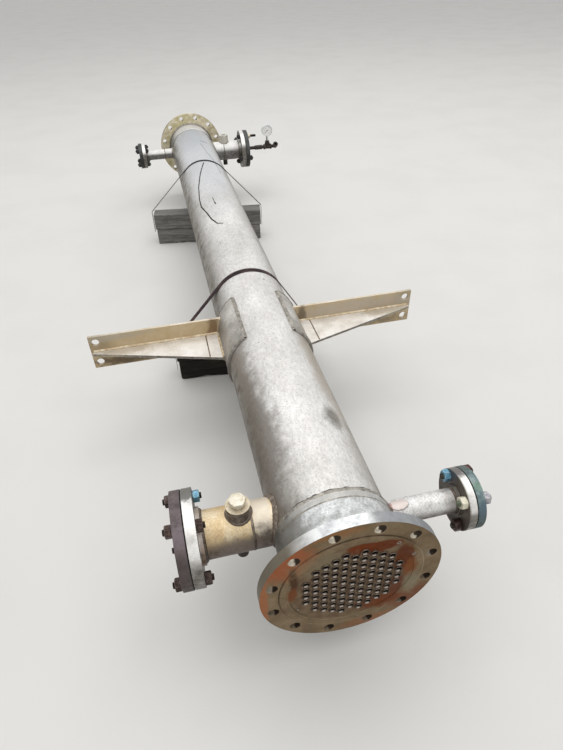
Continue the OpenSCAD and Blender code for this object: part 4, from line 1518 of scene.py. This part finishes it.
@dataclass
class Nozzle:
    """A side nozzle: its welds, studs and nuts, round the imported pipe, flange, gasket and cover.

    Attributes:
        name: Start of its nodes' names.
        side: Side of the shell.
        vessel: Vessel that it stands on.
        first_stud: Angle of the first stud, in degrees.
        bolt_circle_r: Radius of the bolt circle.
        joint_x: Distance of the pipe's girth weld from the shell's axis.
        hub_leg: Leg of the fillet weld at the flange's hub.
        pipe: Finish of the pipe.
        cover: Finish of the cover.
        weld: Finish of the welds.
        plain_nut: Finish of the nuts that have none of their own.
        coupling: Finish of the top coupling, or nothing where there is none.
        joint: Finish of the pipe's girth weld, or nothing where it is like the other welds.
        hub_nuts: Finishes of the nuts on the hub side, by the stud's number.
        cover_nuts: Finishes of the nuts on the cover.
        threads: Finishes of the studs.
        long_stud: Number of the stud that stands out far, or -1.
        studs: Number of studs.
        stud_r: Outside radius of a stud.
        thread_pitch: Pitch of its thread.
        nut_flats: Width of a nut across the flats.
        nut_h: Height of a nut.
        stud_end: How far a stud stands out of its nut.
        long_stud_end: The same for the long stud.
    """

    name: str
    side: Side
    vessel: Vessel
    first_stud: float
    bolt_circle_r: float
    joint_x: float
    hub_leg: float
    pipe: Finish
    cover: Finish
    weld: Finish
    plain_nut: NutFinish
    coupling: Finish | None = None
    joint: Finish | None = None
    hub_nuts: dict[int, NutFinish] = field(default_factory=dict)
    cover_nuts: dict[int, NutFinish] = field(default_factory=dict)
    threads: dict[int, NutFinish] = field(default_factory=dict)
    long_stud: int = -1
    studs: int = 4
    stud_r: float = 7.95 * MM
    thread_pitch: float = 2.31 * MM
    nut_flats: float = 27 * MM
    nut_h: float = 15.9 * MM
    stud_end: float = 5 * MM
    long_stud_end: float = 38 * MM

    def __post_init__(self) -> None:
        """Reads the nozzle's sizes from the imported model."""
        neck_low, neck_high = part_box(f"{self.name}_neck")
        flange = [abs(corner.x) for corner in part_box(f"{self.name}_flange")]
        cover = [abs(corner.x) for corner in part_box(f"{self.name}_cover")]
        self.centre = Y * (neck_low.y + neck_high.y) / 2
        self.pipe_r = neck_high.z
        self.hub_x = min(flange)
        self.cover_x = max(cover)
        self.grip_start = max(flange) + min(cover) - self.cover_x
        self.axis = Axis(self.centre, X * self.side, -Z * self.side)

    def build(self) -> None:
        """Dresses the nozzle's nodes and adds its welds, studs and nuts."""
        give(f"{self.name}_neck", self.pipe)
        give(f"{self.name}_flange", FLANGE)
        give(f"{self.name}_gasket", GASKET)
        give(f"{self.name}_cover", self.cover)
        if self.coupling:
            give(f"{self.name}_coupling", self.coupling)
            give(f"{self.name}_drain", DARK_FITTING)
        self.add_welds()
        self.add_studs()

    def add_welds(self) -> None:
        """Makes the weld at the shell, the pipe's girth weld, the hub's fillet and the couplings' fillets."""
        out = self.axis.along
        root = saddle(self.centre, Y, out, self.pipe_r, self.vessel.radius_at)
        ring = self.axis.place(self.joint_x, self.pipe_r, all_round(130))
        away = unit(ring - self.axis.place(self.joint_x, 0.0, 0.0))
        hub = ring + (self.hub_x - self.joint_x) * out
        surfaces = [
            fillet(*root, 8 * MM, 51),
            bead(ring, out, away, 6, 1.0, seed=52, jagged=0.8, finish=1),
            fillet(hub, away, -out, self.hub_leg, 53),
        ]
        for part, up in (("coupling", Z), ("drain", -Z)) if self.coupling else ():
            low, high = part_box(f"{self.name}_{part}")
            centre = self.centre + X * (low.x + high.x) / 2
            radius = (high.x - low.x) / 2
            corner = saddle(centre, X, up, radius, lambda x: np.full(len(x), self.pipe_r))
            surfaces.append(fillet(*corner, 4 * MM, 54))
        finishes = [self.weld, self.joint or self.weld]
        assemble(f"{self.name}_welds", surfaces, finishes, sharp=60)

    def add_studs(self) -> None:
        """Makes the studs and nuts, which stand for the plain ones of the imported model."""
        order = list(NutFinish)
        hub_nut = self.grip_start - self.nut_h
        surfaces = []
        for number in range(self.studs):
            angle = math.radians(self.first_stud) + number * TURN / self.studs
            axis = self.axis.moved(self.bolt_circle_r, angle)
            end = self.long_stud_end if number == self.long_stud else self.stud_end
            last = self.cover_x + self.nut_h + end
            thread = order.index(self.threads.get(number, NutFinish.THREAD))
            first = hub_nut - self.stud_end
            surfaces.append(stud(axis, first, last, self.stud_r, self.thread_pitch, thread))
            for start, own in ((hub_nut, self.hub_nuts), (self.cover_x, self.cover_nuts)):
                finish = order.index(own.get(number, self.plain_nut))
                surfaces.append(nut(axis, start, self.nut_flats, self.nut_h, self.stud_r - 1 * MM, finish))
        finishes = [member.value for member in order]
        assemble(f"{self.name}_studs_and_nuts", surfaces, finishes, f"{self.name}_bolts", 28)


@dataclass
class Plug:
    """The hexagon plug in the near left coupling.

    Attributes:
        flats: Width across the flats.
        hex_h: Height of the hexagon.
        neck_r: Radius of the neck under the hexagon.
    """

    flats: float = 36.5 * MM
    hex_h: float = 12 * MM
    neck_r: float = 15 * MM

    def build(self) -> None:
        """Makes the chamfered hexagon and its threaded neck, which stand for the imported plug."""
        low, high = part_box("near_left_plug")
        axis = Axis(np.array([(low.x + high.x) / 2, (low.y + high.y) / 2, 0.0]), Z, X)
        top, foot = high.z / MM, (high.z - self.hex_h) / MM
        surfaces = [
            nut(axis, high.z - self.hex_h, self.flats, self.hex_h, 0.35 * self.flats),
            axis.turned([(top - 1.0, 0.36), (top, 0.34)], 48, self.flats),
            axis.turned([(foot, 0.36), (foot + 1.0, 0.36)], 48, self.flats),
            stud(axis, low.z, high.z - self.hex_h + 1 * MM, self.neck_r, 2.2 * MM),
        ]
        assemble("plug_head", surfaces, [PLUG], "near_left_plug")


@dataclass
class Gauge:
    """Pressure gauge with its dial, pointer, glass and bezel, on its fittings.

    Attributes:
        sweep: Angle from the first to the last number, in degrees.
        largest: Last number on the dial.
        reading: Number that the pointer shows.
        recess: Depth of the dial behind the front, in millimetres.
        bezel_w: Width of the ring round the dial, in millimetres.
        figure_h: Height of the numbers.
    """

    sweep: float = 270.0
    largest: int = 10
    reading: float = 0.3
    recess: float = 3
    bezel_w: float = 4
    figure_h: float = 6 * MM

    def __post_init__(self) -> None:
        """Reads the gauge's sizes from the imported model."""
        low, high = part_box("pressure_gauge")
        case_r = (high.x - low.x) / 2
        self.dial_r = case_r / MM - self.bezel_w
        middle = np.array([(low.x + high.x) / 2, low.y + self.recess * MM, high.z - case_r])
        self.front = Axis(middle, -Y, Z)

    def on_dial(self, radius: float, share: float, height: float) -> np.ndarray:
        """Gives a point of the dial.

        Args:
            radius: Distance from the middle as a share of the dial's radius.
            share: Share of the sweep from the first number on.
            height: Height over the dial in millimetres.

        Returns:
            The point.
        """
        angle = math.radians(self.sweep / 2 - share * self.sweep)
        return self.front.place(height * MM, radius * self.dial_r * MM, angle)

    def build(self) -> None:
        """Dresses the gauge's nodes and adds what shows behind and round its glass."""
        give("pressure_gauge", GAUGE_CASE)
        for node in ("gauge_nipple", "gauge_tee", "gauge_elbow"):
            give(node, DARK_FITTING)
        t = all_round(14)
        rim = np.stack([2.4 + 0.6 * np.sin(t), self.dial_r + 1.4 + 1.6 * np.cos(t)], -1)
        disc = self.front.turned([(-0.2, self.dial_r), (0.3, self.dial_r)], 64)
        pane = self.front.turned([(1.9, self.dial_r), (2.5, self.dial_r)], 64)
        bezel = self.front.turned(rim, 72, loops=True)
        assemble("gauge_dial", [disc], [DIAL])
        self.add_print()
        self.add_pointer()
        assemble("gauge_glass_pane", [pane], [GLASS])
        assemble("gauge_bezel", [bezel], [GAUGE_CASE], sharp=60)

    def add_print(self) -> None:
        """Makes the dial's marks and plain numbers, as thin raised print."""
        surfaces = []
        for step in range(2 * self.largest + 1):
            share = step / (2 * self.largest)
            inner, half = (0.84, 0.3) if step % 2 else (0.78, 0.5)
            ends = np.array([self.on_dial(radius, share, 0.3) for radius in (inner, 0.9)])
            across = unit(np.cross(ends[1] - ends[0], Y)) * half * MM
            corners = np.array([ends[0] - across, ends[0] + across, ends[1] + across, ends[1] - across])
            surfaces.append(Surface(corners + np.array([-Y, Y])[:, None] * 0.1 * MM))
        assemble("gauge_dial_marks", surfaces, [INK])
        for figure in range(0, self.largest + 1, 2):
            self.add_figure(figure)

    def add_figure(self, figure: int) -> None:
        """Makes one number on the dial as a mesh.

        Args:
            figure: The number.
        """
        text = bpy.data.curves.new(f"figure_{figure}", "FONT")
        text.body = str(figure)
        text.size = self.figure_h
        text.align_x = "CENTER"
        text.align_y = "CENTER"
        text.extrude = 0.1 * MM
        source = stand(f"figure_source_{figure}", text)
        bpy.context.view_layer.update()
        evaluated = source.evaluated_get(bpy.context.evaluated_depsgraph_get())
        mesh = bpy.data.meshes.new_from_object(evaluated)
        bpy.data.objects.remove(source)
        place = self.on_dial(0.56, figure / self.largest, 0.3)
        mesh.transform(Matrix.Translation(place.tolist()) @ Matrix.Rotation(math.pi / 2, 4, "X"))
        mesh.materials.clear()
        mesh.materials.append(INK.material())
        piece = stand(f"gauge_figure_{figure}", mesh)
        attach(piece, BODY)

    def add_pointer(self) -> None:
        """Makes the pointer, a thin wedge with a tail, and its hub."""
        share = self.reading / self.largest
        tip, tail = self.on_dial(0.78, share, 1.1), self.on_dial(-0.25, share, 1.1)
        across = unit(np.cross(tip - tail, Y)) * MM
        outline = np.array([tail - 1.3 * across, tip - 0.3 * across, tip + 0.3 * across, tail + 1.3 * across])
        wedge = Surface(outline + np.array([0 * Y, Y])[:, None] * 0.4 * MM)
        hub = self.front.turned([(0.0, 3.0), (1.4, 3.0), (1.7, 2.2)], 24)
        assemble("gauge_pointer", [wedge, hub], [INK])


@dataclass
class Lugs:
    """Wrapper pads, bearing plates and gussets, with their welds.

    Attributes:
        vessel: Vessel that they stand on.
        pad_top: Angle of a pad's upper edge from the top, in radians.
        splice_x: Distance of the joint line in the gussets from the shell's axis.
        drop: How far the gussets' middle lies below the shell's axis.
    """

    vessel: Vessel
    pad_top: float = math.radians(36)
    splice_x: float = 190 * MM
    drop: float = 5 * MM

    def __post_init__(self) -> None:
        """Reads the lugs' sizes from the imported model."""
        pad_low, pad_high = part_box("wrapper_pads")
        self.pad_r = pad_high.x
        self.pad_ends = (pad_low.y, pad_high.y)
        gusset_low, gusset_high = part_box("gussets")
        self.gusset_front = gusset_low.y
        self.gusset_reach = gusset_high.x
        self.gusset_half = (gusset_high.z - gusset_low.z) / 2
        self.plate_low, self.plate_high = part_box("bearing_plates")

    def build(self) -> None:
        """Dresses the lugs' nodes and adds their welds on both sides."""
        give("wrapper_pads", PAD)
        give("bearing_plates", PLATE)
        give("gussets", GUSSET)
        pads = [weld for side in Side for weld in self.pad_welds(side)]
        lugs = [weld for side in Side for weld in self.lug_welds(side)]
        assemble("pad_welds", pads, [WELD], sharp=60)
        assemble("lug_welds", lugs, [CREAM_WELD, RUST_WELD], sharp=60)

    def pad_welds(self, side: Side) -> list[Surface]:
        """Makes the fillets round one pad: along its two long edges and round its two ends.

        Args:
            side: Side of the pad.

        Returns:
            The welds.
        """
        axis, radius = self.vessel.axis, self.vessel.shell_r
        y = np.linspace(self.pad_ends[0] - 4 * MM, self.pad_ends[1] + 4 * MM, 110)
        surfaces = []
        for angle, up in ((self.pad_top, 1.0), (math.pi - self.pad_top, -1.0)):
            path = axis.place(y, radius, side * angle)
            out = outward(path)
            surfaces.append(fillet(path, out, np.cross(out, Y) * side * up, 9 * MM, 61 + side, closed=False))
        angles = np.linspace(self.pad_top, math.pi - self.pad_top, 90) * side
        for y_end, sense in zip(self.pad_ends, BOTH_ENDS):
            path = axis.place(y_end, radius, angles)
            surfaces.append(fillet(path, outward(path), Y * sense, 9 * MM, 64 + side, closed=False))
        return surfaces

    def lug_welds(self, side: Side) -> list[Surface]:
        """Makes the welds of one lug: gusset to plate, both to the pad, and the joint lines.

        Args:
            side: Side of the lug.

        Returns:
            The welds.
        """
        out = X * side
        low, high = self.plate_low, self.plate_high
        runs = []
        for up in (1.0, -1.0):
            z = up * self.gusset_half - self.drop
            start = math.sqrt(self.pad_r**2 - z**2)
            x = np.linspace(start, self.gusset_reach - 2 * MM, 150) * side
            runs.append((joined(x, low.y, z), -Y, Z * up, 71))
            y = np.linspace(self.gusset_front + 2 * MM, low.y, 60)
            runs.append((joined(start * side, y, z), out, Z * up, 72))
        z = np.linspace(low.z + 2 * MM, high.z - 2 * MM, 50)
        for y, sense in ((low.y, -1.0), (high.y, 1.0)):
            runs.append((joined(side * np.sqrt(self.pad_r**2 - z**2), y, z), out, Y * sense, 73))
        surfaces = [fillet(path, first, second, 6 * MM, seed, False) for path, first, second, seed in runs]
        share = (self.gusset_reach - self.splice_x) / (self.gusset_reach - self.pad_r)
        y = np.linspace(low.y - (low.y - self.gusset_front) * share, low.y, 40)
        joint = joined(side * self.splice_x, y, self.gusset_half - self.drop)
        surfaces.append(bead(joint, out, Z, 4, 0.8, seed=75, closed=False, finish=1))
        return surfaces


@dataclass
class Stack:
    """Two timbers on each other, with worn edges, and the nails that hold the strap's tails.

    Attributes:
        name: Start of the node's name.
        wood: Finish of the timbers.
        wood_slot: Material slot of the timbers; not used.
        strap: Finish of the strap.
        strap_slot: Material slot of the strap; not used.
        y: Place along the shell.
        left: Reach of the upper timber to the left.
        right: Reach of the upper timber to the right.
        strap_y: Place of the strap along the shell.
        seed: Number that picks the wear.
        skew: Turn of the timbers away from square to the shell, in degrees.
        strap_skew: Turn of the strap, in degrees.
        setback: How much further in the lower timber's right end lies, and further left its left end.
        corner_r: Radius of the worn edges.
        lift: Gap between the timbers.
    """

    name: str
    wood: Wood
    wood_slot: str
    strap: Finish
    strap_slot: str
    y: float
    left: float
    right: float
    strap_y: float
    seed: int
    skew: float
    strap_skew: float = 0.0
    setback: float = 6 * MM
    corner_r: float = 4 * MM
    lift: float = 0.2 * MM

    def __post_init__(self) -> None:
        """Reads the stack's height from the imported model."""
        low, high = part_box(f"{self.name}_timbers")
        self.bottom = low.z
        self.top = high.z
        self.timber_side = (high.z - low.z - self.lift) / 2

    def timber(self, middle_z: float, left: float, right: float) -> Surface:
        """Makes one timber as rings along its length, which shrink to a point in the middle of each end.

        A ring is a square with round corners. Its points move inwards by smooth random amounts, more at
        the corners, so that the wood stays inside its true size.

        Args:
            middle_z: Height of the timber's middle.
            left: Reach to the left.
            right: Reach to the right.

        Returns:
            The timber's skin.
        """
        half, r = self.timber_side / 2, self.corner_r
        edge = np.linspace(-(half - r), half - r, 15)
        bend = np.linspace(0.0, math.pi / 2, 5)[1:-1]
        side = np.stack([np.full_like(edge, half), edge], -1)
        corner = np.stack([half - r + r * np.cos(bend), half - r + r * np.sin(bend)], -1)
        quarter = np.concatenate([side, corner])
        turns = [np.array([[math.cos(a), math.sin(a)], [-math.sin(a), math.cos(a)]]) for a in all_round(4)]
        ring = np.concatenate([quarter @ turn for turn in turns])
        x = np.linspace(-left + r / 2, right - r / 2, 130)
        shrink = np.array([0.05, 0.25, 0.5, 0.75, 0.93])
        scale = np.concatenate([shrink, [0.985], np.ones(len(x) - 2), [0.985], shrink[::-1]])
        first, last = np.full(5, -left), np.full(5, right)
        place = np.concatenate([first, x[:1] - r / 2.5, x[1:-1], x[-1:] + r / 2.5, last])[:, None]
        section = ring * scale[:, None, None]
        points = joined(place, section[..., 0], section[..., 1])
        reach = np.linalg.norm(section, axis=-1, keepdims=True)
        cornered = np.clip((reach[..., 0] / half - 1.0) / 0.35, 0.0, 1.0)
        wear = 0.5 + 0.5 * lumps(points * (0.12, 1.0, 1.0) + Z * middle_z, 11 * MM, self.seed)
        chips = np.clip(lumps(points + middle_z, 26 * MM, self.seed + 1) - 0.35, 0.0, None)
        depth = 0.7 * MM * wear + (1.6 * MM * wear + 9 * MM * chips) * cornered**2
        ends = np.abs(place - (right - left) / 2) > (left + right) / 2 - 1e-9
        inward = np.zeros_like(points)
        inward[..., 0] = np.where(ends, np.where(place < 0, 1.0, -1.0), 0.0)
        inward[..., 1:] = -section / np.maximum(reach, 1e-6)
        points += inward * depth[..., None]
        cos, sin = math.cos(math.radians(self.skew)), math.sin(math.radians(self.skew))
        turn = np.array([[cos, -sin, 0.0], [sin, cos, 0.0], [0.0, 0.0, 1.0]])
        return Surface(points @ turn + Y * self.y + Z * middle_z)

    def build(self) -> None:
        """Dresses the strap, and makes its nails and both timbers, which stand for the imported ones."""
        give(f"{self.name}_strap", self.strap)
        half = self.timber_side / 2
        upper = self.timber(self.top - half, self.left, self.right)
        lower = self.timber(self.bottom + half, self.left - self.setback, self.right - self.setback)
        timbers = f"{self.name}_timbers"
        assemble(f"{self.name}_timber_stack", [upper, lower], [self.wood], timbers)
        self.add_nails()

    def add_nails(self) -> None:
        """Makes two nail heads on each tail of the strap, square on it and below the timber's upper edge."""
        angle = math.radians(self.strap_skew)
        surfaces = []
        for corner, out in zip(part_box(f"{self.name}_strap"), BOTH_ENDS):
            reach = corner.x - out * (8 * MM * math.sin(angle) + 1 * MM)
            start = np.array([reach, self.strap_y - reach * math.tan(angle), self.top])
            axis = Axis(start, out * (X * math.cos(angle) - Y * math.sin(angle)), -Z)
            for drop in (28 * MM, 70 * MM):
                surfaces.append(axis.moved(drop).turned([(0.0, 3.5), (1.6, 3.5), (2.2, 2.6)], 16))
        assemble(f"{self.name}_strap_nails", surfaces, [NutFinish.REDDISH.value])


def nozzles(vessel: Vessel) -> list[Nozzle]:
    """Gives the four nozzles with what sets each apart.

    Args:
        vessel: Vessel that they stand on.

    Returns:
        The nozzles.
    """
    large = {"bolt_circle_r": 95.25 * MM, "hub_leg": 6 * MM}
    small = {"bolt_circle_r": 60.325 * MM, "hub_leg": 4 * MM, "first_stud": 45}
    near = {"vessel": vessel, "weld": BROWN_WELD, "plain_nut": NutFinish.BROWN}
    far = {"vessel": vessel, "weld": WELD, "plain_nut": NutFinish.BLACK}
    far |= {"pipe": FAR_PIPE, "cover": BLACK_COVER}
    return [
        Nozzle(
            "near_left",
            Side.LEFT,
            **large,
            **near,
            first_stud=67.5,
            joint_x=183 * MM,
            pipe=CREAM_PIPE,
            cover=DARK_COVER,
            coupling=COUPLING,
            hub_nuts={0: NutFinish.BLUE},
        ),
        Nozzle(
            "near_right",
            Side.RIGHT,
            **small,
            **near,
            joint_x=196 * MM,
            pipe=PIPE,
            cover=TEAL_COVER,
            joint=PIPE,
            hub_nuts={1: NutFinish.BLUE, 2: NutFinish.CREAM},
            cover_nuts={1: NutFinish.REDDISH, 2: NutFinish.LAVENDER},
            threads={2: NutFinish.GREEN_THREAD},
        ),
        Nozzle("far_left", Side.LEFT, **small, **far, joint_x=188 * MM),
        Nozzle(
            "far_right",
            Side.RIGHT,
            **large,
            **far,
            first_stud=22.5,
            joint_x=197 * MM,
            coupling=BRIGHT_COUPLING,
            cover_nuts={2: NutFinish.CREAM},
            long_stud=2,
        ),
    ]


def stacks() -> list[Stack]:
    """Gives the two stacks of timber."""
    mid = {"y": 1202 * MM, "left": 305 * MM, "right": 242 * MM, "strap_y": 1190 * MM, "seed": 81, "skew": 5}
    far = {"y": 2508 * MM, "left": 320 * MM, "right": 300 * MM, "strap_y": 2530 * MM, "seed": 91, "skew": 9}
    return [
        Stack("mid", DARK_WOOD, "timber_dark", BROWN_STRAP, "strap_brown", **mid),
        Stack("far", GREY_WOOD, "timber_grey", BLACK_STRAP, "strap_black", **far, strap_skew=7),
    ]


def as_lists(bounds: Iterable) -> list:
    """Turns a box into plain lists of numbers."""
    return [[float(value) for value in corner] for corner in bounds]


def main() -> None:
    """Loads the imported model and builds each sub-assembly in order."""
    logging.basicConfig(level=logging.INFO, format="%(name)s %(message)s")
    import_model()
    packed = as_lists(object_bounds())
    bpy.context.scene.view_settings.view_transform = "Standard"
    vessel = Vessel()
    studio = Studio(floor_z=packed[0][2])
    for assembly in (studio, vessel, *nozzles(vessel), Plug(), Gauge(), Lugs(vessel), *stacks()):
        assembly.build()


if __name__ == "__main__":
    main()
